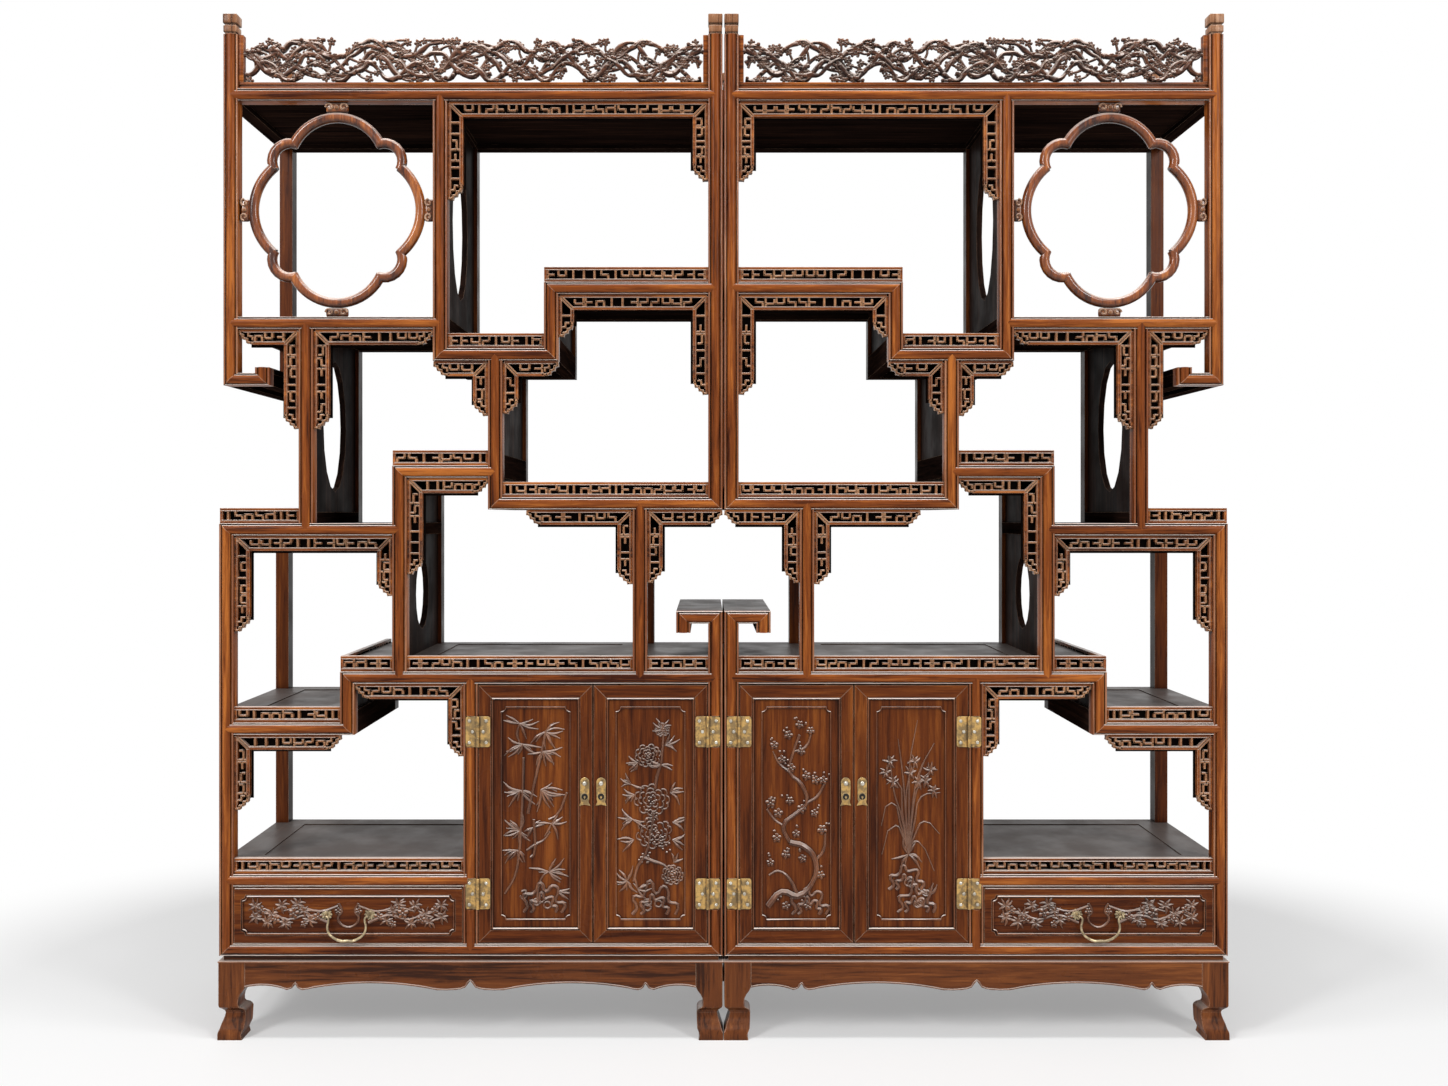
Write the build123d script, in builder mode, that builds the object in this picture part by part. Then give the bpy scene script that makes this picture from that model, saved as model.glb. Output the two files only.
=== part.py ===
from build123d import *
import os
from collections import namedtuple
from math import hypot, sqrt

os.makedirs("parts", exist_ok=True)

# A mirrored pair of Chinese display cabinets: open stepped shelves over a cupboard and a
# drawer, on scalloped stands. Millimetres, +Z up, front towards -Y. The origin is on the
# floor, at the middle of the pair's width and of its overall depth, drawer pulls included.
# Each piece is worked out for the right-hand cabinet, where +X leads outwards from the plane
# between the two, and pair() mirrors it for the left-hand one.

# ---------------------------------------------------------------- driving dimensions
PAIR_GAP = 3.5
DEPTH = 340.0

# Framing: square posts and rails, each with a round bead along its face
POST = 28.0
RAIL = 24.0
BEAD = 18.0
BEAD_CROWN = 9.0
BEAD_RISE = 4.0

# Steps outwards, from the plane between the cabinets to a post's centre line and from each
# post to the next
SCROLL_TIP_OUT = 78.3
NICHE_OUT = 163.2
STEP_OUT = 173.3
HALL_OUT = 109.2
CASE_OUT = 47.8
RING_OUT = 59.9
TERRACE_OUT = 79.2
STUB_OUT = 101.9
BAY_OUT = 80.7
HOOK_TIP_OUT = 85.2
CROWN_OUT = 61.5
BASE_END_OUT = 8.5

# Stand
STAND_H = 153.0
WAIST_H = 9.0
WAIST_INSET = 8.0
WAIST_WIDTH = 24.0
LEG = 52.0
FOOT_FLARE = 1.5
STAND_APRON_T = 18.0

# Steps upwards, from each rail's centre line to the next
DRAWER_UP = 135.3
LOW_SHELF_UP = 295.9
CASE_TOP_UP = 99.6
SCROLL_UP = 117.7
WING_UP = 171.7
HALL_UP = 51.0
TERRACE_UP = 61.9
HOOK_UP = 180.7
STEP_UP = 48.1
RING_UP = 61.5
PERCH_UP = 68.1
TOP_UP = 377.3
POST_HEAD = 118.2
SCROLL_TIP_DROP = 17.9
HOOK_TIP_RISE = 11.2

# Shelves, walls and frets
BOARD_T = 22.0
FLUSH_BOARD_T = 14.0
FIELD_MARGIN = 40.0
FIELD_SINK = 1.5
WALL_T = 12.0
OVAL_SIDES = 16
FRIEZE_H = 30.0
FRET_T = 12.0
FRET_SET_BACK = 4.0
FRET_BAND = 30.0
FRET_BORDER = 6.0
FRET_BAR = 7.0
FRET_PITCH = 300.0
FRET_SEAM = 0.3

# Lobed ring window: each lobe is part of a circle, and a corner lobe's middle lies further out
# and further up than those of the side and end lobes
RING_BAR = 18.0
END_LOBE_R = 94.9
SIDE_LOBE_R = 109.3
CORNER_LOBE_R = 35.9
CORNER_OUT = 39.7
CORNER_UP = 9.2
LOBE_SIDES = 18
CLOUD_LENGTH = 44.0
CLOUD_T = 16.0
SIDE_CLOUD_H = 19.55
END_CLOUD_H = 19.7
SEAT_GAP = 0.3

# Crest
CREST_SILL_H = 14.0
CREST_T = 14.0
CREST_LOW = 58.0
CREST_HIGH = 84.0
CREST_SPRAYS = 7
CREST_EAR = 17.0
CREST_HOLE = 20.0
FINIAL_H = 39.0
FINIAL_HEAD = 22.0
FINIAL_NECK = 22.0

# Doors
DOOR_T = 20.0
DOOR_GAP = 1.5
DOOR_MEET_GAP = 2.0
DOOR_SILL_GAP = 2.0
STILE = 30.0
PANEL_T = 9.0
PANEL_TONGUE = 6.0
PANEL_SINK = 4.0
CARVING_MARGIN = 14.0
CARVING_SINK = 2.0
CUSP_R = 9.0

# Brass fittings
HINGE_H = 60.0
HINGE_LEAF = 24.0
HINGE_T = 1.8
KNUCKLE_R = 3.5
KNUCKLE_H = 24.0
PIN_R = 1.8
PIN_FIT = 0.1
HINGE_RISE = 96.0
HINGE_DROP = 90.8
LOCK_RISE = 295.0
LOCK_W = 22.0
LOCK_H = 55.0
LOCK_T = 1.5
STUD_R = 4.0
STUD_REACH = 7.0
BOSS_R = 6.6
PULL_SPAN = 85.0
ROSETTE_R = 12.0
ROSETTE_T = 2.0
EYE_R = 5.0
EYE_REACH = 18.0
BAIL_R = 2.6
BAIL_HALF_W = 35.0
BAIL_DROP = 48.0
BAIL_FIT = 0.3
PULL_RISE = 55.0

# Drawer
DRAWER_SIDE_T = 10.0
DRAWER_BOTTOM_T = 6.0
DRAWER_BACK_GAP = 10.0
DRAWER_SIDE_GAP = 2.0
DRAWER_SIDE_H = 84.0
RUNNER_H = 7.7
RUNNER_W = 15.0
GUIDE_H = 24.0
GUIDE_FIT = 0.5
BACK_PANEL_T = 8.0
BACK_PANEL_INSET = 10.0

# ---------------------------------------------------------------- derived places
U_CENTRE = (PAIR_GAP + POST) / 2
U_SCROLL_TIP = SCROLL_TIP_OUT
U_NICHE = NICHE_OUT
U_STEP = U_NICHE + STEP_OUT
U_HALL = U_STEP + HALL_OUT
U_CASE = U_HALL + CASE_OUT
U_RING = U_CASE + RING_OUT
U_TERRACE = U_RING + TERRACE_OUT
U_STUB = U_TERRACE + STUB_OUT
U_BAY = U_STUB + BAY_OUT
U_HOOK_TIP = U_BAY + HOOK_TIP_OUT
U_CROWN = U_HOOK_TIP + CROWN_OUT
U_BASE_END = U_CROWN + BASE_END_OUT
Z_FLOOR = STAND_H + WAIST_H + RAIL / 2
Z_DRAWER = Z_FLOOR + DRAWER_UP
Z_LOW_SHELF = Z_DRAWER + LOW_SHELF_UP
Z_CASE_TOP = Z_LOW_SHELF + CASE_TOP_UP
Z_SCROLL = Z_CASE_TOP + SCROLL_UP
Z_WING = Z_SCROLL + WING_UP
Z_HALL = Z_WING + HALL_UP
Z_TERRACE = Z_HALL + TERRACE_UP
Z_HOOK = Z_TERRACE + HOOK_UP
Z_STEP = Z_HOOK + STEP_UP
Z_RING = Z_STEP + RING_UP
Z_PERCH = Z_RING + PERCH_UP
Z_TOP = Z_PERCH + TOP_UP
POST_TOP = Z_TOP + POST_HEAD
SCROLL_TIP_FOOT = Z_SCROLL - RAIL / 2 - SCROLL_TIP_DROP
HOOK_TIP_TOP = Z_HOOK + RAIL / 2 + HOOK_TIP_RISE
PULL_PROUD = EYE_REACH - CARVING_SINK - BEAD_RISE
Y_FRONT = (PULL_PROUD - DEPTH - FOOT_FLARE) / 2
Y_BACK = Y_FRONT + DEPTH
Y_FACE = Y_FRONT + BEAD_RISE
Y_BEHIND = Y_FRONT + POST
Y_REAR_POST = Y_BACK - POST
Y_FRET = Y_FACE + FRET_SET_BACK
U_INNER = PAIR_GAP / 2
U_OUTER = U_BASE_END + POST / 2


def inner(u):
    """Face of the post at u that looks at the plane between the cabinets."""
    return u - POST / 2


def outer(u):
    return u + POST / 2


def top(z):
    return z + RAIL / 2


def under(z):
    return z - RAIL / 2


DOOR_Z = (top(Z_FLOOR) + DOOR_SILL_GAP, under(Z_CASE_TOP) - DOOR_SILL_GAP)
HINGE_Z = (DOOR_Z[0] + HINGE_RISE, DOOR_Z[1] - HINGE_DROP)
LOCK_Z = DOOR_Z[0] + LOCK_RISE
DRAWER_Z = (DOOR_Z[0], under(Z_DRAWER) - DOOR_SILL_GAP)
PULL_Z = DRAWER_Z[0] + PULL_RISE


# ---------------------------------------------------------------- framing members
# A tongue ends at the side of the member it meets, and its bead runs into that member's bead
# as a point; a mitre turns a corner; a square end stands free.
Member = namedtuple("Member", "at lo lo_end hi hi_end")

POSTS = {
    "crown": Member(U_CROWN, Z_HOOK, "mitre", POST_TOP, "square"),
    "ring": Member(U_RING, Z_STEP, "mitre", Z_TOP, "tongue"),
    "centre_top": Member(U_CENTRE, Z_HALL, "mitre", POST_TOP, "square"),
    "step": Member(U_STEP, Z_STEP, "mitre", Z_PERCH, "mitre"),
    "bay": Member(U_BAY, Z_WING, "tongue", Z_RING, "tongue"),
    "hall": Member(U_HALL, Z_HALL, "mitre", Z_STEP, "tongue"),
    "terrace": Member(U_TERRACE, Z_CASE_TOP, "tongue", Z_TERRACE, "mitre"),
    "niche": Member(U_NICHE, Z_CASE_TOP, "tongue", Z_HALL, "tongue"),
    "base_end": Member(U_BASE_END, Z_FLOOR, "mitre", Z_WING, "mitre"),
    "stub": Member(U_STUB, Z_LOW_SHELF, "mitre", Z_CASE_TOP, "mitre"),
    "case": Member(U_CASE, Z_FLOOR, "tongue", Z_CASE_TOP, "tongue"),
    "centre_low": Member(U_CENTRE, Z_FLOOR, "mitre", Z_SCROLL, "mitre"),
    "hook_tip": Member(U_HOOK_TIP, Z_HOOK, "mitre", HOOK_TIP_TOP, "square"),
    "scroll_tip": Member(U_SCROLL_TIP, SCROLL_TIP_FOOT, "square", Z_SCROLL, "mitre"),
}
RAILS = {
    "top": Member(Z_TOP, U_CENTRE, "tongue", U_CROWN, "tongue"),
    "perch": Member(Z_PERCH, U_CENTRE, "tongue", U_STEP, "mitre"),
    "ring": Member(Z_RING, U_RING, "tongue", U_CROWN, "tongue"),
    "step": Member(Z_STEP, U_STEP, "mitre", U_RING, "mitre"),
    "hook": Member(Z_HOOK, U_HOOK_TIP, "mitre", U_CROWN, "mitre"),
    "terrace": Member(Z_TERRACE, U_HALL, "tongue", U_TERRACE, "mitre"),
    "hall": Member(Z_HALL, U_CENTRE, "mitre", U_HALL, "mitre"),
    "wing": Member(Z_WING, U_TERRACE, "tongue", U_BASE_END, "mitre"),
    "scroll": Member(Z_SCROLL, U_CENTRE, "mitre", U_SCROLL_TIP, "mitre"),
    "case_top": Member(Z_CASE_TOP, U_CENTRE, "tongue", U_STUB, "mitre"),
    "low_shelf": Member(Z_LOW_SHELF, U_STUB, "mitre", U_BASE_END, "tongue"),
    "drawer": Member(Z_DRAWER, U_CASE, "tongue", U_BASE_END, "tongue"),
    "floor": Member(Z_FLOOR, U_CENTRE, "mitre", U_BASE_END, "mitre"),
}


def partner_side(member, end, others):
    """Which side of a mitred corner the member it is mitred to leads away to."""
    for other in others:
        if other.at == end and other.lo == member.at:
            return 1
        if other.at == end and other.hi == member.at:
            return -1
    raise ValueError("a mitred end meets no member")


def notches(member, others):
    """Places along the member where another one's tongue enters it, with their sides."""
    found = []
    for other in others:
        if member.lo <= other.at <= member.hi:
            if other.lo == member.at and other.lo_end == "tongue":
                found.append((other.at, 1))
            if other.hi == member.at and other.hi_end == "tongue":
                found.append((other.at, -1))
    return found


def outline(member, others, half, cross_half, pointed):
    """Front view of a member as points (across, along), with its ends and notches."""
    sides = {1: [], -1: []}
    ends = ((member.lo, member.lo_end, -1), (member.hi, member.hi_end, 1))
    for at, kind, out in ends:
        mitred = partner_side(member, at, others) if kind == "mitre" else 0
        for side, points in sides.items():
            reach = {"square": 0, "tongue": -cross_half}.get(kind, cross_half)
            if mitred == side:
                reach = -cross_half
            points.append((side * half, at + out * reach))
    if pointed:
        for at, side in notches(member, others):
            steps = ((half, -half), (0, 0), (half, half))
            sides[side] += [(side * across, at + along) for across, along in steps]
    for points in sides.values():
        points.sort(key=lambda point: point[1])
    hi_tip = [(0, member.hi)] if pointed and member.hi_end == "tongue" else []
    lo_tip = [(0, member.lo)] if pointed and member.lo_end == "tongue" else []
    return sides[1] + hi_tip + sides[-1][::-1] + lo_tip


def placed(points, member, upright):
    """Points (across, along) as (x, z)."""
    if upright:
        return [(member.at + across, along) for across, along in points]
    return [(along, member.at + across) for across, along in points]


def bead_length(member, others, upright):
    """The bead on a member's face, cut to its points, mitres and notches."""
    half, crown = BEAD / 2, BEAD_CROWN / 2
    section = Plane.XY if upright else Plane.YZ
    start, length = member.lo - POST, member.hi - member.lo + 2 * POST
    profile = [
        (member.at + across, Y_FACE - rise) if upright else (Y_FACE - rise, member.at + across)
        for across, rise in ((-half, 0), (-crown, BEAD_RISE), (crown, BEAD_RISE), (half, 0))
    ]
    with BuildPart() as bead:
        with BuildSketch(section.offset(start)):
            Polygon(*profile, align=None)
        extrude(amount=length)
        with BuildSketch(Plane.XZ.offset(-Y_FACE)):
            Polygon(*placed(outline(member, others, half, half, True), member, upright), align=None)
        extrude(amount=BEAD_RISE, mode=Mode.INTERSECT)
    return bead.part


def flat_length(member, others, upright, y_rear, depth):
    """A member's plain square body, with its mitred or butted ends."""
    half, cross_half = (POST / 2, RAIL / 2) if upright else (RAIL / 2, POST / 2)
    with BuildPart() as body:
        with BuildSketch(Plane.XZ.offset(-y_rear)):
            points = outline(member, others, half, cross_half, False)
            Polygon(*placed(points, member, upright), align=None)
        extrude(amount=depth)
    return body.part


def front_length(member, others, upright):
    bead = bead_length(member, others, upright)
    body = flat_length(member, others, upright, Y_BEHIND, POST - BEAD_RISE)
    with BuildPart() as whole:
        add(body)
        add(bead)
    return whole.part


def box(u, y, z):
    """A block between two values on each axis."""
    with BuildPart() as block:
        with Locations(((u[0] + u[1]) / 2, (y[0] + y[1]) / 2, (z[0] + z[1]) / 2)):
            Box(abs(u[1] - u[0]), abs(y[1] - y[0]), abs(z[1] - z[0]))
    return block.part


def front_plate(points, y_front, thickness):
    """A flat piece with the given (x, z) outline, its face at y_front."""
    with BuildPart() as plate:
        with BuildSketch(Plane.XZ.offset(-(y_front + thickness))):
            Polygon(*points, align=None)
        extrude(amount=thickness)
    return plate.part


def hinge_housed(piece, u):
    """A member with its bead cut away where hinge leaves lie flat on the post at u."""
    with BuildPart() as housed:
        add(piece)
        with Locations(*[(u, Y_FRONT, z) for z in HINGE_Z]):
            Box(POST, 2 * BEAD_RISE, HINGE_H + 2 * SEAT_GAP, mode=Mode.SUBTRACT)
    return housed.part


ALL_POSTS, ALL_RAILS = list(POSTS.values()), list(RAILS.values())
front_posts = {name: front_length(POSTS[name], ALL_RAILS, True) for name in POSTS}
front_rails = {name: front_length(RAILS[name], ALL_POSTS, False) for name in RAILS}
for pieces, name, u in (
    (front_posts, "case", U_CASE),
    (front_posts, "centre_low", U_CENTRE),
    (front_rails, "drawer", U_CASE),
):
    pieces[name] = hinge_housed(pieces[name], u)
back_posts = [flat_length(post, ALL_RAILS, True, Y_BACK, POST) for post in ALL_POSTS]
back_rails = [flat_length(rail, ALL_POSTS, False, Y_BACK, POST) for rail in ALL_RAILS]

# ---------------------------------------------------------------- rails from front to back
# At shelf height a rail beside a post that goes on up is as high as the shelf board.
LOW_JOINTS = (
    (U_CROWN, Z_TOP), (U_CROWN, Z_RING), (U_CROWN, Z_HOOK), (U_RING, Z_TOP), (U_RING, Z_RING),
    (U_CENTRE, Z_TOP), (U_STEP, Z_PERCH), (U_BAY, Z_RING), (U_HALL, Z_STEP),
    (U_TERRACE, Z_TERRACE), (U_TERRACE, Z_WING), (U_NICHE, Z_HALL), (U_BASE_END, Z_WING),
    (U_BASE_END, Z_FLOOR), (U_STUB, Z_CASE_TOP), (U_CASE, Z_CASE_TOP), (U_CASE, Z_FLOOR),
    (U_CENTRE, Z_FLOOR), (U_CENTRE, Z_SCROLL), (U_HOOK_TIP, Z_HOOK), (U_SCROLL_TIP, Z_SCROLL),
)
HIGH_JOINTS = (
    (U_CENTRE, Z_PERCH), (U_CENTRE, Z_HALL), (U_STEP, Z_STEP), (U_RING, Z_STEP),
    (U_BAY, Z_WING), (U_HALL, Z_TERRACE), (U_HALL, Z_HALL), (U_TERRACE, Z_CASE_TOP),
    (U_NICHE, Z_CASE_TOP), (U_CENTRE, Z_CASE_TOP), (U_BASE_END, Z_LOW_SHELF),
    (U_BASE_END, Z_DRAWER), (U_STUB, Z_LOW_SHELF), (U_CASE, Z_DRAWER),
)


def side_rail(u, z, z_top):
    return box((inner(u), outer(u)), (Y_BEHIND, Y_REAR_POST), (under(z), z_top))


side_rails = [side_rail(u, z, top(z)) for u, z in LOW_JOINTS]
side_rails += [side_rail(u, z, top(z) + BOARD_T) for u, z in HIGH_JOINTS]
# The tips of the hook and scroll shelves run from front to back too
for u, z in ((U_HOOK_TIP, (top(Z_HOOK), HOOK_TIP_TOP)), (U_SCROLL_TIP, (SCROLL_TIP_FOOT, under(Z_SCROLL)))):
    side_rails.append(box((inner(u), outer(u)), (Y_BEHIND, Y_REAR_POST), z))

# ---------------------------------------------------------------- walls from front to back
# Each stands between an upright pair of posts, from one side rail to the next; some have a
# tall oval opening: (post, bottom, top, oval width, oval height).
OVAL_WALLS = (
    (U_RING, top(Z_RING), under(Z_TOP), 150.0, 300.0),
    (U_BAY, top(Z_WING) + BOARD_T, under(Z_RING), 150.0, 272.0),
    (U_TERRACE, top(Z_CASE_TOP) + BOARD_T, under(Z_WING), 110.0, 150.0),
)
PLAIN_WALLS = (
    (U_RING, top(Z_STEP) + BOARD_T, under(Z_RING)),
    (U_STEP, top(Z_STEP) + BOARD_T, under(Z_PERCH)),
    (U_HALL, top(Z_TERRACE) + BOARD_T, under(Z_STEP)),
    (U_HALL, top(Z_HALL) + BOARD_T, under(Z_TERRACE)),
    (U_TERRACE, top(Z_WING), under(Z_TERRACE)),
    (U_STUB, top(Z_LOW_SHELF) + BOARD_T, under(Z_CASE_TOP)),
)


def wall(u, z_low, z_high):
    return box((u - WALL_T / 2, u + WALL_T / 2), (Y_BEHIND, Y_REAR_POST), (z_low, z_high))


def oval_wall(u, z_low, z_high, width, height):
    middle = (u - WALL_T, (Y_BEHIND + Y_REAR_POST) / 2, (z_low + z_high) / 2)
    blank = wall(u, z_low, z_high)
    with BuildPart() as panel:
        add(blank)
        with BuildSketch(Plane(origin=middle, x_dir=(0, 1, 0), z_dir=(1, 0, 0))):
            RegularPolygon(width / 2, OVAL_SIDES)
            scale(by=(1, height / width, 1))
        extrude(amount=2 * WALL_T, mode=Mode.SUBTRACT)
    return panel.part


oval_walls = [oval_wall(*spec) for spec in OVAL_WALLS]
plain_walls = [wall(*spec) for spec in PLAIN_WALLS]

# ---------------------------------------------------------------- shelf boards
# A shelf with a frieze lies on its rails behind the frieze; where it runs out to a corner
# (inner post, outer post, rail, open end) a second frieze returns along its end.
FRIEZE_SHELVES = (
    (U_STEP, U_RING, Z_STEP, False),
    (U_CENTRE, U_STEP, Z_PERCH, True),
    (U_BAY, U_BASE_END, Z_WING, True),
    (U_HALL, U_TERRACE, Z_TERRACE, True),
    (U_CENTRE, U_HALL, Z_HALL, False),
    (U_TERRACE, U_STUB, Z_CASE_TOP, True),
    (U_NICHE, U_TERRACE, Z_CASE_TOP, False),
    (U_CENTRE, U_NICHE, Z_CASE_TOP, False),
    (U_STUB, U_BASE_END, Z_LOW_SHELF, False),
    (U_CASE, U_BASE_END, Z_DRAWER, False),
)
# Boards flush with the top of their rails: (inner post, outer post, rail)
FLUSH_SHELVES = (
    (U_CENTRE, U_RING, Z_TOP),
    (U_RING, U_CROWN, Z_TOP),
    (U_RING, U_BAY, Z_RING),
    (U_BAY, U_CROWN, Z_RING),
    (U_TERRACE, U_BAY, Z_WING),
    (U_HOOK_TIP, U_CROWN, Z_HOOK),
    (U_CENTRE, U_SCROLL_TIP, Z_SCROLL),
)
NARROW_SHELF = 3 * FIELD_MARGIN


def board(u, y, z_top, thickness):
    """A frame-and-panel board, whose field is sunk a little inside its frame."""
    width, depth = u[1] - u[0], y[1] - y[0]
    blank = box(u, y, (z_top - thickness, z_top))
    with BuildPart() as shelf:
        add(blank)
        if width > NARROW_SHELF:
            with BuildSketch(Plane.XY.offset(z_top - FIELD_SINK)):
                with Locations(((u[0] + u[1]) / 2, (y[0] + y[1]) / 2)):
                    Rectangle(width - 2 * FIELD_MARGIN, depth - 2 * FIELD_MARGIN)
            extrude(amount=2 * FIELD_SINK, mode=Mode.SUBTRACT)
    return shelf.part


def frieze_shelf(u_in, u_out, z, open_end):
    outer_edge = outer(u_out) - FRET_T if open_end else inner(u_out)
    return board((outer(u_in), outer_edge), (Y_FRET + FRET_T, Y_BACK), top(z) + BOARD_T, BOARD_T)


def flush_shelf(u_in, u_out, z):
    return board((outer(u_in), inner(u_out)), (Y_BEHIND, Y_REAR_POST), top(z), FLUSH_BOARD_T)


shelf_boards = [frieze_shelf(*spec) for spec in FRIEZE_SHELVES]
shelf_boards += [flush_shelf(*spec) for spec in FLUSH_SHELVES]


# ---------------------------------------------------------------- pierced frets
def fret_outline(length, band, start, end):
    """Outline (along, across) of a fret strip; across is 0 at the member that carries it."""
    ends = {
        "square": [(0, 0), (0, band)],
        "mitre": [(0, 0), (band, band)],
        "lobed": [(0, 0), (0.3 * band, 0.5 * band), (0.8 * band, band)],
    }
    tail = [(length - along, across) for along, across in ends[end]]
    return ends[start] + tail[::-1]


def fret_windows(length, band, start, end):
    """Middles and widths of the openings between the cross bars, as (along, width)."""
    clear = {"square": FRET_BORDER, "mitre": band, "lobed": 0.8 * band + FRET_BORDER}
    first, last = clear[start], length - clear[end]
    count = max(1, round((last - first) / FRET_PITCH))
    pitch = (last - first + FRET_BAR) / count
    return [(first + (i + 0.5) * pitch - FRET_BAR / 2, pitch - FRET_BAR) for i in range(count)]


def fret(place, length, band, start, end, upright=False):
    """A pierced strip; place turns (along, across) into (x, z)."""
    with BuildPart() as strip:
        with BuildSketch(Plane.XZ.offset(-(Y_FRET + FRET_T))):
            Polygon(*[place(*p) for p in fret_outline(length, band, start, end)], align=None)
            for along, width in fret_windows(length, band, start, end):
                size = (band - 2 * FRET_BORDER, width) if upright else (width, band - 2 * FRET_BORDER)
                with Locations(place(along, band / 2)):
                    Rectangle(*size, mode=Mode.SUBTRACT)
        extrude(amount=FRET_T)
    return strip.part


def frieze(u_in, u_out, z, open_end):
    start, stop = outer(u_in), outer(u_out) if open_end else inner(u_out)
    return fret(lambda s, t: (start + s, top(z) + t), stop - start, FRIEZE_H, "square", "square")


def frieze_return(u_out, z):
    """The frieze along the end of a shelf that runs out to a corner."""
    y = (Y_FRET + FRET_T + FRET_SEAM, Y_BACK)
    hole = (FRIEZE_H - 2 * FRET_BORDER, y[1] - y[0] - 2 * FRET_BORDER)
    blank = box((outer(u_out) - FRET_T, outer(u_out)), y, (top(z), top(z) + FRIEZE_H))
    with BuildPart() as strip:
        add(blank)
        with BuildSketch(Plane.YZ.offset(outer(u_out) - 2 * FRET_T)):
            with Locations(((y[0] + y[1]) / 2, top(z) + FRIEZE_H / 2)):
                Rectangle(hole[1], hole[0])
        extrude(amount=3 * FRET_T, mode=Mode.SUBTRACT)
    return strip.part


shelf_friezes = [frieze(*spec) for spec in FRIEZE_SHELVES]
shelf_friezes += [frieze_return(u_out, z) for _, u_out, z, is_open in FRIEZE_SHELVES if is_open]

# Aprons hang under a rail between two faces, with a leg down the post at one or both ends:
# (rail, inner face, outer face, inner leg, outer leg); an end without a leg is lobed.
APRONS = (
    (Z_TOP, outer(U_CENTRE), inner(U_RING), 154.0, 191.0),
    (Z_RING, outer(U_BAY), inner(U_CROWN), 194.0, 0),
    (Z_RING, outer(U_RING), inner(U_BAY), 0, 194.0),
    (Z_STEP, outer(U_HALL), outer(U_RING), 107.0, 0),
    (Z_STEP, inner(U_STEP), inner(U_HALL), 0, 103.0),
    (Z_PERCH, outer(U_CENTRE), inner(U_STEP), 195.0, 82.0),
    (Z_TERRACE, outer(U_HALL), inner(U_TERRACE), 0, 188.0),
    (Z_WING, outer(U_TERRACE), inner(U_BASE_END), 118.0, 187.0),
    (Z_HALL, outer(U_NICHE), U_HALL - 60.0, 146.0, 0),
    (Z_HALL, inner(U_CENTRE), inner(U_NICHE), 0, 143.0),
    (Z_CASE_TOP, outer(U_CASE), inner(U_STUB), 142.0, 0),
    (Z_LOW_SHELF, outer(U_STUB), inner(U_BASE_END), 0, 147.0),
)


def apron_pieces(z, u_in, u_out, in_leg, out_leg):
    z_top = under(z)
    ends = ["mitre" if leg else "lobed" for leg in (in_leg, out_leg)]
    pieces = [fret(lambda s, t: (u_in + s, z_top - t), u_out - u_in, FRET_BAND, *ends)]
    if in_leg:
        place = lambda s, t: (u_in + t, z_top - s - FRET_SEAM)
        pieces.append(fret(place, in_leg, FRET_BAND, "mitre", "lobed", upright=True))
    if out_leg:
        place = lambda s, t: (u_out - t, z_top - s - FRET_SEAM)
        pieces.append(fret(place, out_leg, FRET_BAND, "mitre", "lobed", upright=True))
    return pieces


fret_aprons = [piece for spec in APRONS for piece in apron_pieces(*spec)]

# ---------------------------------------------------------------- lobed ring window
RING_U = (inner(U_CROWN) + outer(U_RING)) / 2
RING_Z = (under(Z_TOP) + top(Z_RING)) / 2
Y_RING = Y_FACE + POST / 2
ring_half_w = inner(U_CROWN) - RING_U - SIDE_CLOUD_H - SEAT_GAP
ring_half_h = under(Z_TOP) - RING_Z - END_CLOUD_H - SEAT_GAP
# Middle of each lobe, from the ring's own, and its radius
RING_END_LOBE = (0, ring_half_h - RING_BAR / 2 - END_LOBE_R, END_LOBE_R)
RING_SIDE_LOBE = (ring_half_w - RING_BAR / 2 - SIDE_LOBE_R, 0, SIDE_LOBE_R)
RING_CORNER_LOBE = (RING_SIDE_LOBE[0] + CORNER_OUT, RING_END_LOBE[1] + CORNER_UP, CORNER_LOBE_R)


def cusp(lobe, other):
    """Where the circles of two lobes meet, on the side away from the ring's middle."""
    (ax, az, ar), (bx, bz, br) = lobe, other
    apart = hypot(bx - ax, bz - az)
    along = (ar**2 - br**2 + apart**2) / (2 * apart)
    across = sqrt(ar**2 - along**2)
    ux, uz = (bx - ax) / apart, (bz - az) / apart
    x, z = ax + along * ux, az + along * uz
    return max((x - across * uz, z + across * ux), (x + across * uz, z - across * ux), key=lambda p: hypot(*p))


END_CUSP = cusp(RING_END_LOBE, RING_CORNER_LOBE)
SIDE_CUSP = cusp(RING_CORNER_LOBE, RING_SIDE_LOBE)
RING_PLANE = Plane(origin=(RING_U, Y_RING + RING_BAR / 2, RING_Z), x_dir=(1, 0, 0), z_dir=(0, -1, 0))


def ring_lobe(lobe, start, end):
    """One curved length of the ring bar, cut on lines from the ring's middle through its cusps."""
    x, z, radius = lobe
    with BuildPart() as bar:
        with BuildSketch(RING_PLANE):
            with Locations((x, z)):
                RegularPolygon(radius + RING_BAR / 2, LOBE_SIDES)
                RegularPolygon(radius - RING_BAR / 2, LOBE_SIDES, mode=Mode.SUBTRACT)
            sector = [(far * x, far * z) for (x, z), far in ((start, 0.8), (start, 2), (end, 2), (end, 0.8))]
            Polygon(*sector, align=None, mode=Mode.INTERSECT)
        extrude(amount=RING_BAR)
    return bar.part


def turned(point, sx, sz):
    return (sx * point[0], sz * point[1], *point[2:])


def cloud(u, z, length, height):
    """A small carved cloud block that holds the ring to its frame."""
    nick = min(length, height) / 3
    with BuildPart() as block:
        with BuildSketch(Plane.XZ.offset(-(Y_RING + CLOUD_T / 2))):
            with Locations((u, z)):
                Rectangle(length, height)
            chamfer(vertices(), nick)
        extrude(amount=CLOUD_T)
    return block.part


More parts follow.
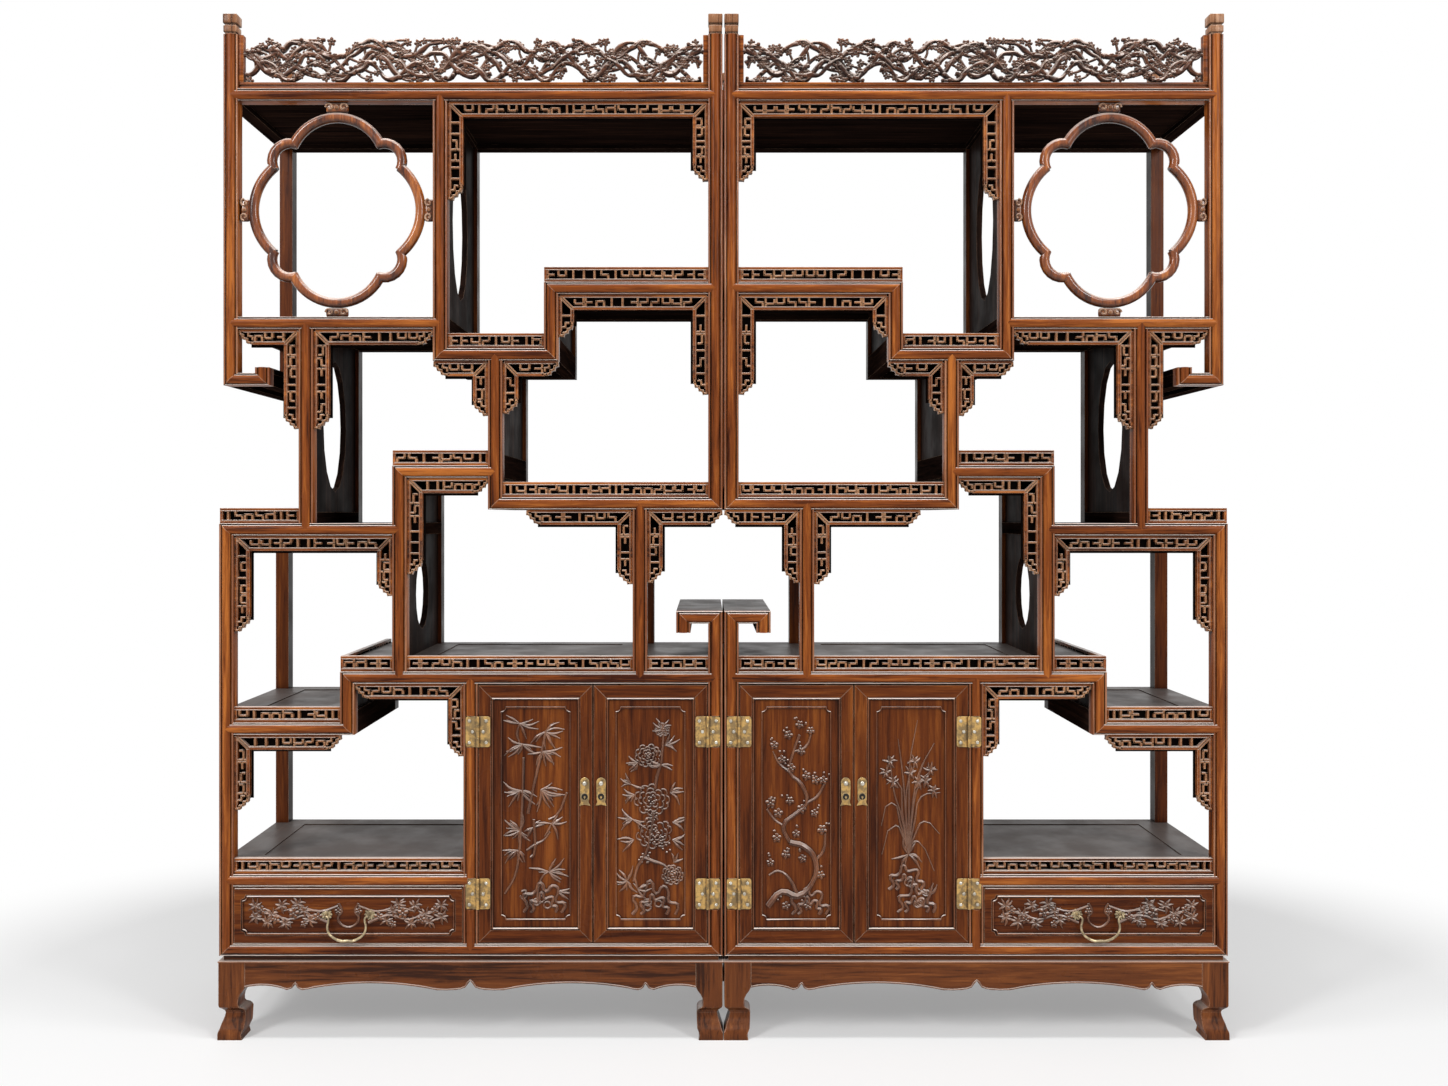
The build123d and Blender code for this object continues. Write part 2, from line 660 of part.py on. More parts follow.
window_ring = [
    ring_lobe(turned(RING_CORNER_LOBE, sx, sz), turned(END_CUSP, sx, sz), turned(SIDE_CUSP, sx, sz))
    for sx in (1, -1) for sz in (1, -1)
]
for sign in (1, -1):
    ends = [turned(END_CUSP, side, sign) for side in (1, -1)]
    sides = [turned(SIDE_CUSP, sign, side) for side in (1, -1)]
    window_ring.append(ring_lobe(turned(RING_END_LOBE, 1, sign), *ends))
    window_ring.append(ring_lobe(turned(RING_SIDE_LOBE, sign, 1), *sides))
    window_ring.append(
        cloud(RING_U, RING_Z + sign * (under(Z_TOP) - RING_Z - END_CLOUD_H / 2), CLOUD_LENGTH, END_CLOUD_H)
    )
    window_ring.append(
        cloud(RING_U + sign * (inner(U_CROWN) - RING_U - SIDE_CLOUD_H / 2), RING_Z, SIDE_CLOUD_H, CLOUD_LENGTH)
    )


# ---------------------------------------------------------------- crest and post heads
def crest_board():
    """Pierced carved board with sprays that rise and fall along its upper edge."""
    left, right = outer(U_CENTRE) + CREST_EAR, inner(U_CROWN) - CREST_EAR
    base = top(Z_TOP) + CREST_SILL_H
    step = (right - left) / CREST_SPRAYS
    edge = [(left, base)]
    for i in range(CREST_SPRAYS):
        for share, rise in ((0.12, CREST_LOW), (0.4, CREST_HIGH), (0.7, CREST_HIGH), (0.9, CREST_LOW)):
            edge.append((left + (i + share) * step, base + rise))
    edge.append((right, base))
    with BuildPart() as crest:
        with BuildSketch(Plane.XZ.offset(-(Y_FRET + CREST_T))):
            Polygon(*edge, align=None)
            with Locations(((left + right) / 2, base + CREST_LOW / 2)):
                with GridLocations(step, 1, CREST_SPRAYS, 1):
                    Rectangle(2 * CREST_HOLE, CREST_HOLE, mode=Mode.SUBTRACT)
        extrude(amount=CREST_T)
    return crest.part


def crest_trim():
    """The sill under the carved board and the two flat ears beside it."""
    y = (Y_FRET, Y_FRET + CREST_T)
    inside, outside = outer(U_CENTRE), inner(U_CROWN)
    base = top(Z_TOP) + CREST_SILL_H
    sill = box((inside, outside), y, (top(Z_TOP), base))
    ears = [
        box((inside, inside + CREST_EAR), y, (base, POST_TOP)),
        box((outside - CREST_EAR, outside), y, (base, POST_TOP)),
    ]
    return [sill] + ears


def finial(u, y_front):
    """Square carved head on a post: a neck and a cushion-topped block."""
    neck_h = FINIAL_H - FINIAL_HEAD
    middle = (u, y_front + POST / 2)
    with BuildPart() as head:
        for z, size, height in ((0, FINIAL_NECK, neck_h), (neck_h, POST, FINIAL_HEAD)):
            with BuildSketch(Plane.XY.offset(POST_TOP + z)):
                with Locations(middle):
                    Rectangle(size, size)
            extrude(amount=height)
        chamfer(head.faces().sort_by(Axis.Z)[-1].edges(), BEAD_RISE)
    return head.part


crest = [crest_board()] + crest_trim()
finials = [finial(u, y) for u in (U_CENTRE, U_CROWN) for y in (Y_FRONT, Y_REAR_POST)]

# ---------------------------------------------------------------- cupboard and drawer case
def runner(rail_face, wall_face, inward, drawer_side):
    """Runner on the side rail and its wall: the drawer slides on its foot, beside its upstand."""
    foot = top(Z_FLOOR) - FLUSH_BOARD_T / 2
    ledge = foot + RUNNER_H
    guide = drawer_side - inward * GUIDE_FIT
    toe = drawer_side + inward * RUNNER_W
    with BuildPart() as strip:
        with BuildSketch(Plane.XZ.offset(-Y_REAR_POST)):
            Polygon(
                (rail_face, foot), (toe, foot), (toe, ledge), (guide, ledge),
                (guide, ledge + GUIDE_H), (wall_face, ledge + GUIDE_H),
                (wall_face, top(Z_FLOOR)), (rail_face, top(Z_FLOOR)), align=None,
            )
        extrude(amount=Y_REAR_POST - Y_BEHIND)
    return strip.part


Y_BACK_PANEL = (Y_BACK - BACK_PANEL_INSET - BACK_PANEL_T, Y_BACK - BACK_PANEL_INSET)
DRAWER_SIDES = (
    outer(U_CASE) + DOOR_GAP + DRAWER_SIDE_GAP,
    inner(U_BASE_END) - DOOR_GAP - DRAWER_SIDE_GAP,
)
dust_board_top = top(Z_FLOOR) - FLUSH_BOARD_T / 2
case_panels = [
    wall(U_CENTRE, top(Z_FLOOR), under(Z_CASE_TOP)),
    wall(U_CASE, top(Z_FLOOR), under(Z_DRAWER)),
    wall(U_CASE, top(Z_DRAWER) + BOARD_T, under(Z_CASE_TOP)),
    wall(U_BASE_END, top(Z_FLOOR), under(Z_DRAWER)),
    box((outer(U_CENTRE), inner(U_CASE)), Y_BACK_PANEL, (top(Z_FLOOR), under(Z_CASE_TOP))),
    box((outer(U_CASE), inner(U_BASE_END)), Y_BACK_PANEL, (top(Z_FLOOR), under(Z_DRAWER))),
    flush_shelf(U_CENTRE, U_CASE, Z_FLOOR),
    box(
        (outer(U_CASE), inner(U_BASE_END)),
        (Y_BEHIND, Y_REAR_POST),
        (dust_board_top - FLUSH_BOARD_T / 2, dust_board_top),
    ),
    runner(outer(U_CASE), U_CASE + WALL_T / 2, 1, DRAWER_SIDES[0]),
    runner(inner(U_BASE_END), U_BASE_END - WALL_T / 2, -1, DRAWER_SIDES[1]),
]


# ---------------------------------------------------------------- doors
DOOR_MEET = (outer(U_CENTRE) + inner(U_CASE)) / 2
DOOR_U = {
    "inner": (outer(U_CENTRE) + DOOR_GAP, DOOR_MEET - DOOR_MEET_GAP / 2),
    "outer": (DOOR_MEET + DOOR_MEET_GAP / 2, inner(U_CASE) - DOOR_GAP),
}


def panel_outline(u, z, radius):
    """A rectangle in (x, z) whose corners are cut in by small cusps."""
    with BuildSketch(Plane.XZ) as shape:
        with Locations(((u[0] + u[1]) / 2, (z[0] + z[1]) / 2)):
            Rectangle(u[1] - u[0], z[1] - z[0])
        with Locations(*[(x, y) for x in u for y in z]):
            RegularPolygon(radius, 8, mode=Mode.SUBTRACT)
    return shape.sketch


def door_frame(u, z):
    """Two stiles and two rails, mitred, grooved inside for the panel."""
    (left, right), (low, high) = u, z
    groove = box(
        (left + STILE - PANEL_TONGUE, right - STILE + PANEL_TONGUE),
        (Y_FACE + PANEL_SINK - SEAT_GAP, Y_FACE + PANEL_SINK + PANEL_T + SEAT_GAP),
        (low + STILE - PANEL_TONGUE, high - STILE + PANEL_TONGUE),
    )
    inside = {
        left: left + STILE, right: right - STILE, low: low + STILE, high: high - STILE,
    }
    pieces = []
    for side in (
        ((left, low), (left, high)), ((right, low), (right, high)),
        ((left, low), (right, low)), ((left, high), (right, high)),
    ):
        (ax, az), (bx, bz) = side
        corners = ((ax, az), (bx, bz), (inside[bx], inside[bz]), (inside[ax], inside[az]))
        blank = front_plate(corners, Y_FACE, DOOR_T)
        with BuildPart() as member:
            add(blank)
            add(groove, mode=Mode.SUBTRACT)
        pieces.append(member.part)
    return pieces


def door_panel(u, z):
    """Floating panel, with a sunk field for the carving."""
    reach = STILE - PANEL_TONGUE + SEAT_GAP
    field_u = (u[0] + STILE + CARVING_MARGIN, u[1] - STILE - CARVING_MARGIN)
    field_z = (z[0] + STILE + CARVING_MARGIN, z[1] - STILE - CARVING_MARGIN)
    face = Y_FACE + PANEL_SINK
    field = panel_outline(field_u, field_z, CUSP_R)
    blank = box((u[0] + reach, u[1] - reach), (face, face + PANEL_T), (z[0] + reach, z[1] - reach))
    with BuildPart() as panel:
        add(blank)
        with BuildSketch(Plane.XZ.offset(-(face + CARVING_SINK))):
            add(field)
        extrude(amount=2 * CARVING_SINK, mode=Mode.SUBTRACT)
    return panel.part


def hinge_leaf(pivot_u, away, z, is_post_leaf):
    """Half of a butt hinge: a plate and its knuckles; the post's half also carries the pin."""
    pivot_y = Y_FACE - KNUCKLE_R
    clear = KNUCKLE_R + SEAT_GAP
    low, high = z - HINGE_H / 2, z + HINGE_H / 2
    mid_low, mid_high = z - KNUCKLE_H / 2, z + KNUCKLE_H / 2
    if is_post_leaf:
        spans = ((low, mid_low - SEAT_GAP), (mid_high + SEAT_GAP, high))
    else:
        spans = ((mid_low, mid_high),)
    y = (Y_FACE - HINGE_T, Y_FACE)
    plates = [box((pivot_u + away * clear, pivot_u + away * HINGE_LEAF), y, (low, high))]
    plates += [box((pivot_u, pivot_u + away * clear), y, span) for span in spans]
    with BuildPart() as leaf:
        add(plates)
        for start, stop in spans:
            with BuildSketch(Plane.XY.offset(start)):
                with Locations((pivot_u, pivot_y)):
                    RegularPolygon(KNUCKLE_R, 6)
            extrude(amount=stop - start)
        with BuildSketch(Plane.XY.offset(low)):
            with Locations((pivot_u, pivot_y)):
                RegularPolygon(PIN_R if is_post_leaf else PIN_R + PIN_FIT, 6, major_radius=is_post_leaf)
        extrude(amount=HINGE_H, mode=Mode.ADD if is_post_leaf else Mode.SUBTRACT)
    return leaf.part


def lock_plate(u, z):
    """Brass plate with an arched head, a flared foot, a stud and a round keyhole boss."""
    half_w, half_h = LOCK_W / 2, LOCK_H / 2
    waist = 0.8 * half_w
    with BuildPart() as plate:
        with BuildSketch(Plane.XZ.offset(-Y_FACE)):
            Polygon(
                (u - half_w, z - half_h), (u + half_w, z - half_h), (u + waist, z - 0.65 * half_h),
                (u + waist, z + half_h - waist), (u + 0.5 * waist, z + half_h),
                (u - 0.5 * waist, z + half_h), (u - waist, z + half_h - waist),
                (u - waist, z - 0.65 * half_h), align=None,
            )
        extrude(amount=LOCK_T)
        with BuildSketch(Plane.XZ.offset(-Y_FACE)):
            with Locations((u, z + 0.6 * half_h)):
                RegularPolygon(STUD_R, 8)
        extrude(amount=STUD_REACH)
        with BuildSketch(Plane.XZ.offset(-Y_FACE)):
            with Locations((u, z - 0.35 * half_h)):
                RegularPolygon(BOSS_R, 8)
        extrude(amount=2 * LOCK_T)
    return plate.part


PIVOT_U = {"inner": outer(U_CENTRE) + DOOR_GAP / 2, "outer": inner(U_CASE) - DOOR_GAP / 2}
INTO_DOOR = {"inner": 1, "outer": -1}
hinge_post_leaves = [
    hinge_leaf(PIVOT_U[side], -INTO_DOOR[side], z, True) for side in PIVOT_U for z in HINGE_Z
]

# ---------------------------------------------------------------- drawer
DRAWER_U = (outer(U_CASE) + DOOR_GAP, inner(U_BASE_END) - DOOR_GAP)
DRAWER_LEDGE = top(Z_FLOOR) - FLUSH_BOARD_T / 2 + RUNNER_H + SEAT_GAP
DRAWER_MIDDLE = (DRAWER_U[0] + DRAWER_U[1]) / 2
Y_EYE = Y_FACE + CARVING_SINK - EYE_REACH + EYE_R


def drawer_front():
    """Solid front with a sunk, cusp-cornered field for the carving."""
    field_u = (DRAWER_U[0] + CARVING_MARGIN, DRAWER_U[1] - CARVING_MARGIN)
    field_z = (DRAWER_Z[0] + CARVING_MARGIN, DRAWER_Z[1] - CARVING_MARGIN)
    field = panel_outline(field_u, field_z, CUSP_R)
    blank = box(DRAWER_U, (Y_FACE, Y_FACE + DOOR_T), DRAWER_Z)
    with BuildPart() as front:
        add(blank)
        with BuildSketch(Plane.XZ.offset(-(Y_FACE + CARVING_SINK))):
            add(field)
        extrude(amount=2 * CARVING_SINK, mode=Mode.SUBTRACT)
    return front.part


def drawer_box():
    """Sides, back and grooved bottom as one jointed tray behind the front."""
    left, right = DRAWER_SIDES
    y = (Y_FACE + DOOR_T, Y_BACK_PANEL[0] - DRAWER_BACK_GAP)
    z = (DRAWER_LEDGE, DRAWER_LEDGE + DRAWER_SIDE_H)
    inside = (left + DRAWER_SIDE_T, right - DRAWER_SIDE_T)
    blank = box((left, right), y, z)
    hollow = box(inside, (y[0], y[1] - DRAWER_SIDE_T), (z[0] + 2 * DRAWER_BOTTOM_T, z[1]))
    relief = box(inside, (y[0], y[1] - DRAWER_SIDE_T), (z[0], z[0] + DRAWER_BOTTOM_T))
    with BuildPart() as tray:
        add(blank)
        add([hollow, relief], mode=Mode.SUBTRACT)
    return tray.part


def pull_mount(u):
    """Rosette and the eye that carries one end of the bail."""
    face = Y_FACE + CARVING_SINK
    with BuildPart() as mount:
        with BuildSketch(Plane.XZ.offset(-face)):
            with Locations((u, PULL_Z)):
                RegularPolygon(ROSETTE_R, 8)
        extrude(amount=ROSETTE_T)
        with BuildSketch(Plane.XZ.offset(-face)):
            with Locations((u, PULL_Z)):
                Rectangle(EYE_R, 2 * EYE_R)
        extrude(amount=EYE_REACH)
        with BuildSketch(Plane.YZ.offset(u - EYE_R)):
            with Locations((Y_EYE, PULL_Z)):
                RegularPolygon(BAIL_R + BAIL_FIT, 8, major_radius=False)
        extrude(amount=2 * EYE_R, mode=Mode.SUBTRACT)
    return mount.part


def bail():
    """Drop handle: both ends turn outwards through the eyes."""
    half = PULL_SPAN / 2
    bend = half - EYE_R / 2 - BAIL_R / 2 - BAIL_HALF_W
    arm = BAIL_DROP - BAIL_HALF_W / 2
    side = [
        (half + EYE_R / 2, 0), (BAIL_HALF_W + bend, 0), (BAIL_HALF_W, -bend), (BAIL_HALF_W, -arm),
        (0.72 * BAIL_HALF_W, -BAIL_DROP + 0.16 * BAIL_HALF_W), (0.3 * BAIL_HALF_W, -BAIL_DROP),
    ]
    plane = Plane(origin=(DRAWER_MIDDLE, Y_EYE, PULL_Z), x_dir=(1, 0, 0), z_dir=(0, -1, 0))
    start = (DRAWER_MIDDLE - half - EYE_R / 2, Y_EYE, PULL_Z)
    with BuildPart() as handle:
        with BuildLine(plane):
            Polyline(*[(-x, z) for x, z in side], *side[::-1])
        with BuildSketch(Plane(origin=start, x_dir=(0, 1, 0), z_dir=(1, 0, 0))):
            RegularPolygon(BAIL_R, 6)
        sweep(transition=Transition.RIGHT)
    return handle.part


# ---------------------------------------------------------------- stand
ANKLE_Z, CUSP_Z = 49.0, 64.0
ANKLE_IN, SHANK = 10.0, 38.0


def leg():
    """Cabriole leg in its own corner: straight shank, drawn-in ankle, flared block foot."""
    silhouette = (
        (0, STAND_H), (0, CUSP_Z), (ANKLE_IN * 0.7, 0.9 * CUSP_Z), (ANKLE_IN, ANKLE_Z),
        (-FOOT_FLARE, ANKLE_Z / 4), (-FOOT_FLARE, 0), (SHANK + 7, 0), (LEG - 2, ANKLE_Z / 2),
        (LEG - 2, ANKLE_Z), (SHANK, CUSP_Z), (SHANK + 1, CUSP_Z + 16), (LEG, CUSP_Z + 38),
        (LEG, STAND_H),
    )
    with BuildPart() as shape:
        with BuildSketch(Plane.XZ.offset(-LEG)):
            Polygon(*silhouette, align=None)
        extrude(amount=LEG + FOOT_FLARE)
        with BuildSketch(Plane.YZ.offset(-FOOT_FLARE)):
            Polygon(*silhouette, align=None)
        extrude(amount=LEG + FOOT_FLARE, mode=Mode.INTERSECT)
    return shape.part


APRON_SHOULDER = CUSP_Z + 38
# The scalloped lower edge from the middle of the apron outwards: each stretch is the (over,
# height) where it ends, after a point that it passes through if it is an arc.
LONG_EDGE = (
    (0, 115.0), (10.0, 102.0), (28.0, 97.5), (64.0, 97.0), (196.0, 110.5, 326.0, 97.0),
    (335.0, 101.0), (340.0, 109.5), (346.0, 101.0), (356.0, 97.5), (398.0, 106.0, 438.0, APRON_SHOULDER),
)
SHORT_EDGE = (
    (0, 112.0), (6.0, 102.0), (16.0, 97.5), (68.0, 108.0, 118.0, APRON_SHOULDER),
)


def apron_board(middle, half_length, edge, front):
    """Scalloped apron, drawn half by half from its middle."""
    span = edge[-1][-2]
    with BuildPart() as board_part:
        with BuildSketch(Plane.XZ if front else Plane.YZ):
            for sign in (1, -1):
                with BuildLine():
                    start = (middle, edge[0][1])
                    for stretch in edge[1:]:
                        points = [
                            (middle + sign * half_length * over / span, height)
                            for over, height in zip(stretch[::2], stretch[1::2])
                        ]
                        if len(points) == 2:
                            ThreePointArc(start, *points)
                        else:
                            Line(start, *points)
                        start = points[-1]
                    Polyline(start, (start[0], STAND_H), (middle, STAND_H), (middle, edge[0][1]))
                make_face()
        extrude(amount=STAND_APRON_T)
    return board_part.part


front_leg = leg()
half_front = (U_OUTER - U_INNER) / 2 - LEG
half_side = DEPTH / 2 - LEG
middle_u, middle_y = (U_OUTER + U_INNER) / 2, (Y_FRONT + Y_BACK) / 2
near_leg = Pos(U_INNER, Y_FRONT, 0) * front_leg
far_leg = Pos(U_OUTER, Y_FRONT, 0) * mirror(front_leg, about=Plane.YZ)
stand_legs = [near_leg, far_leg] + [
    mirror(piece, about=Plane.XZ.offset(-middle_y)) for piece in (near_leg, far_leg)
]
long_apron = apron_board(middle_u, half_front, LONG_EDGE, True)
short_apron = apron_board(middle_y, half_side, SHORT_EDGE, False)
stand_aprons = [
    Pos(0, Y_FRONT + STAND_APRON_T, 0) * long_apron,
    Pos(0, Y_BACK, 0) * long_apron,
    Pos(U_INNER, 0, 0) * short_apron,
    Pos(U_OUTER - STAND_APRON_T, 0, 0) * short_apron,
]
waist_z = (STAND_H, STAND_H + WAIST_H)
waist_u = (U_INNER + WAIST_INSET, U_OUTER - WAIST_INSET)
waist_y = (Y_FRONT + WAIST_INSET, Y_BACK - WAIST_INSET)
stand_waist = [
    box(waist_u, (waist_y[0], waist_y[0] + WAIST_WIDTH), waist_z),
    box(waist_u, (waist_y[1] - WAIST_WIDTH, waist_y[1]), waist_z),
]
stand_waist += [
    box(u, (waist_y[0] + WAIST_WIDTH, waist_y[1] - WAIST_WIDTH), waist_z)
    for u in (
        (waist_u[0], waist_u[0] + WAIST_WIDTH),
        (waist_u[1] - WAIST_WIDTH, waist_u[1]),
    )
]


# ---------------------------------------------------------------- writing
def pair(name, pieces):
    """Writes a node for each cabinet; pieces that touch stay separate solids."""
    solids = [solid for piece in pieces for solid in piece.solids()]
    for side in ("right", "left"):
        label = f"{side}_{name}"
        whole = Compound(label=label, children=[Solid(s.wrapped) for s in solids])
        if side == "left":
            whole = mirror(whole, about=Plane.YZ)
            whole.label = label
        export_step(whole, f"parts/{label}.step")


pair("stand_legs", stand_legs)
pair("stand_aprons", stand_aprons)
pair("stand_waist", stand_waist)
pair("front_posts", front_posts.values())
pair("back_posts", back_posts)
pair("front_rails", front_rails.values())
pair("back_rails", back_rails)
pair("side_rails", side_rails)
pair("walls", oval_walls + plain_walls)
pair("shelf_boards", shelf_boards)
pair("shelf_friezes", shelf_friezes)
pair("fret_aprons", fret_aprons)
pair("ring_window", window_ring)
pair("crest", crest)
pair("finials", finials)
pair("case_panels", case_panels)
pair("hinge_post_leaves", hinge_post_leaves)
for side in ("inner", "outer"):
    pair(f"{side}_door_frame", door_frame(DOOR_U[side], DOOR_Z))
    pair(f"{side}_door_panel", [door_panel(DOOR_U[side], DOOR_Z)])
    pair(
        f"{side}_door_hinges",
        [hinge_leaf(PIVOT_U[side], INTO_DOOR[side], z, False) for z in HINGE_Z],
    )
    pair(
        f"{side}_door_lock",
        [lock_plate(DOOR_MEET - INTO_DOOR[side] * (DOOR_MEET_GAP + STILE) / 2, LOCK_Z)],
    )
pair("drawer_front", [drawer_front()])
pair("drawer_box", [drawer_box()])
pair(
    "pull_mounts",
    [pull_mount(DRAWER_MIDDLE + sign * PULL_SPAN / 2) for sign in (1, -1)],
)
pair("bail", [bail()])
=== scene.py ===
import math
import random

import bmesh
import bpy
from mathutils import Matrix, Vector


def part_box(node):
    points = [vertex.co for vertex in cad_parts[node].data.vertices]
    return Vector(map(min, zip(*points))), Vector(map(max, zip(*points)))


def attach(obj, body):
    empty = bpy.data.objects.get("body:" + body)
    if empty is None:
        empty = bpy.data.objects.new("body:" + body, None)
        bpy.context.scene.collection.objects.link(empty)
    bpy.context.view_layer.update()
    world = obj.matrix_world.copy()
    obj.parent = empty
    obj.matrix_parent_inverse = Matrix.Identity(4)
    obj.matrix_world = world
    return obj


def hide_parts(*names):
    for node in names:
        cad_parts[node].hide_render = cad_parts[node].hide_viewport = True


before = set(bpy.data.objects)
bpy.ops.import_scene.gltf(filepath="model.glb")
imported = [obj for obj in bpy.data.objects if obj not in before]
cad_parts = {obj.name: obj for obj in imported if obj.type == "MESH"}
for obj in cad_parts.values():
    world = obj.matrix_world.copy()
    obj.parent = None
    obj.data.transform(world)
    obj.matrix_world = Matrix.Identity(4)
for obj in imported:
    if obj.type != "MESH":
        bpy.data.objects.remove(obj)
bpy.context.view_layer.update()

# A mirrored pair of Chinese display cabinets in lacquered rosewood. Metres, front towards -Y.
# Each piece is made for the right-hand cabinet and mirrored for the left-hand one.

POST_W, RAIL_W = 0.028, 0.024
PILLOW_HALF, BEAD_RISE = 0.0084, 0.004
TOUCHING = 0.0006  # how near two faces of the frame lie when they count as one
LEAF_GAP, COVE_W = 0.0005, 0.0015
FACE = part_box("right_front_posts")[0].y + BEAD_RISE
SIDES = {"right": 1, "left": -1}
SWAP = Matrix(((0, 0, 1, 0), (0, 1, 0, 0), (1, 0, 0, 0), (0, 0, 0, 1)))

# ---------------------------------------------------------------- colours
# Dark, middle and light of each wood's figure
HEART = ((0.045, 0.0100, 0.0034, 1), (0.205, 0.051, 0.0105, 1), (0.46, 0.142, 0.027, 1))
INSIDE = ((0.0050, 0.0032, 0.0028, 1), (0.014, 0.0075, 0.0058, 1), (0.036, 0.0165, 0.0110, 1))
STAND = ((0.038, 0.0120, 0.0055, 1), (0.138, 0.040, 0.0118, 1), (0.27, 0.086, 0.0225, 1))
PANEL = ((0.042, 0.0095, 0.0030, 1), (0.118, 0.0280, 0.0062, 1), (0.240, 0.068, 0.0125, 1))
# Beads lighter than the heartwood: partly from wearing, partly painted highlight lines
BEAD_WEAR_AND_HIGHLIGHT = (HEART[1], (0.23, 0.080, 0.031, 1), (0.42, 0.19, 0.095, 1))
PANEL_BEAD = ((0.050, 0.0135, 0.0050, 1), (0.155, 0.046, 0.0150, 1), (0.30, 0.110, 0.045, 1))
SCROLL = ((0.050, 0.018, 0.009, 1), (0.25, 0.110, 0.052, 1), (0.48, 0.27, 0.160, 1))
KEY = ((0.090, 0.028, 0.011, 1), (0.24, 0.090, 0.036, 1), (0.42, 0.190, 0.085, 1))
CREST = ((0.024, 0.0078, 0.0040, 1), (0.100, 0.034, 0.0155, 1), (0.27, 0.112, 0.060, 1))
CARVED = ((0.040, 0.0115, 0.0044, 1), (0.120, 0.037, 0.0125, 1), (0.25, 0.092, 0.036, 1))
# Near-black painted shade for the sunk coves
COVE_SHADE = ((0.006, 0.003, 0.002, 1), (0.020, 0.0075, 0.0040, 1), (0.050, 0.018, 0.008, 1))
# Edges lighten to the first colour, partly from wearing and partly as a painted highlight; the second is a
# painted highlight on faces that look up
RUBBED_AND_GLINT, TOP_HIGHLIGHT = (0.78, 0.50, 0.34, 1), (0.92, 0.79, 0.71, 1)
# Painted shade in hollows and under faces that look down; a pale grey on level tops, partly dusty and partly
# a painted reflection
SHADE_BLACK, DUST_AND_REFLECTION = (0.006, 0.0042, 0.0038, 1), (0.205, 0.172, 0.157, 1)
BRASS, TARNISH, BARE_BRASS = (0.60, 0.37, 0.125, 1), (0.145, 0.110, 0.070, 1), (0.80, 0.66, 0.38, 1)


# ---------------------------------------------------------------- node helpers
def node(tree, kind, wires=(), **settings):
    """A new node with its settings and its inputs, each a value or another node's output."""
    made = tree.nodes.new(kind)
    for key, value in settings.items():
        setattr(made, key, value)
    for key, value in dict(wires).items():
        if isinstance(value, bpy.types.NodeSocket):
            tree.links.new(value, made.inputs[key])
        else:
            made.inputs[key].default_value = value
    return made


def group(name, takes, gives):
    tree = bpy.data.node_groups.new(name, "ShaderNodeTree")
    for way, sockets in (("INPUT", takes), ("OUTPUT", gives)):
        for label, kind in sockets:
            tree.interface.new_socket(name=label, in_out=way, socket_type=kind)
    return tree, tree.nodes.new("NodeGroupInput").outputs, tree.nodes.new("NodeGroupOutput").inputs


VALUE, COLOUR, VECTOR = "NodeSocketFloat", "NodeSocketColor", "NodeSocketVector"


def mixed(tree, factor, a, b):
    return node(tree, "ShaderNodeMix", {0: factor, 6: a, 7: b}, data_type="RGBA").outputs[2]


def math_of(tree, kind, a, b=0.5, clamp=False):
    return node(tree, "ShaderNodeMath", {0: a, 1: b}, operation=kind, use_clamp=clamp).outputs[0]


def ramp(tree, value, low, high, to_low=0.0, to_high=1.0):
    wires = {"Value": value, "From Min": low, "From Max": high, "To Min": to_low, "To Max": to_high}
    return node(tree, "ShaderNodeMapRange", wires, interpolation_type="SMOOTHSTEP").outputs[0]


def noise(tree, vector, scale, detail=4.0, rough=0.6, twist=0.0):
    wires = {"Vector": vector, "Scale": scale, "Detail": detail, "Roughness": rough, "Distortion": twist}
    return node(tree, "ShaderNodeTexNoise", wires).outputs[0]


def make_grain():
    """Streaked heartwood: broad dark figure, fine fibre streaks and short pores."""
    tree, given, out = group(
        "rosewood_grain",
        [("Vector", VECTOR), ("Dark", COLOUR), ("Middle", COLOUR), ("Light", COLOUR)],
        [("Color", COLOUR), ("Height", VALUE)],
    )
    broad = noise(tree, given["Vector"], 14.0, 4.0, 0.62, 1.1)
    fibre = noise(tree, given["Vector"], 130.0, 5.0, 0.66, 0.4)
    pores = noise(tree, given["Vector"], 420.0, 2.0, 0.5)
    broad_share, fibre_share = math_of(tree, "MULTIPLY", broad, 0.48), math_of(tree, "MULTIPLY", fibre, 0.52)
    figure = math_of(tree, "ADD", broad_share, fibre_share)
    low = mixed(tree, ramp(tree, figure, 0.38, 0.50), given["Dark"], given["Middle"])
    high = mixed(tree, ramp(tree, figure, 0.49, 0.64), low, given["Light"])
    flecks = ramp(tree, pores, 0.58, 0.72, 0.0, 0.45)
    tree.links.new(mixed(tree, flecks, high, given["Dark"]), out["Color"])
    tree.links.new(math_of(tree, "SUBTRACT", fibre, math_of(tree, "MULTIPLY", pores, 0.5)), out["Height"])
    return tree


def make_edge_wear():
    """How near a point lies to a sharp edge, broken up in patches: edge wearing that also serves as a painted
    highlight.
    """
    tree, given, out = group(
        "worn_and_glinting_edges", [("Vector", VECTOR), ("Radius", VALUE), ("Amount", VALUE)], [("Mask", VALUE)]
    )
    rounded = node(tree, "ShaderNodeBevel", {"Radius": given["Radius"]}, samples=4)
    flat = node(tree, "ShaderNodeNewGeometry")
    wires = {0: rounded.outputs[0], 1: flat.outputs["Normal"]}
    turn = node(tree, "ShaderNodeVectorMath", wires, operation="DOT_PRODUCT").outputs["Value"]
    edge = ramp(tree, math_of(tree, "SUBTRACT", 1.0, turn), 0.01, 0.12)
    patchy = ramp(tree, noise(tree, given["Vector"], 30.0, 4.0, 0.7), 0.3, 0.62, 0.35, 1.0)
    wear_glint_mask = math_of(tree, "MULTIPLY", math_of(tree, "MULTIPLY", edge, patchy), given["Amount"], True)
    tree.links.new(wear_glint_mask, out["Mask"])
    return tree


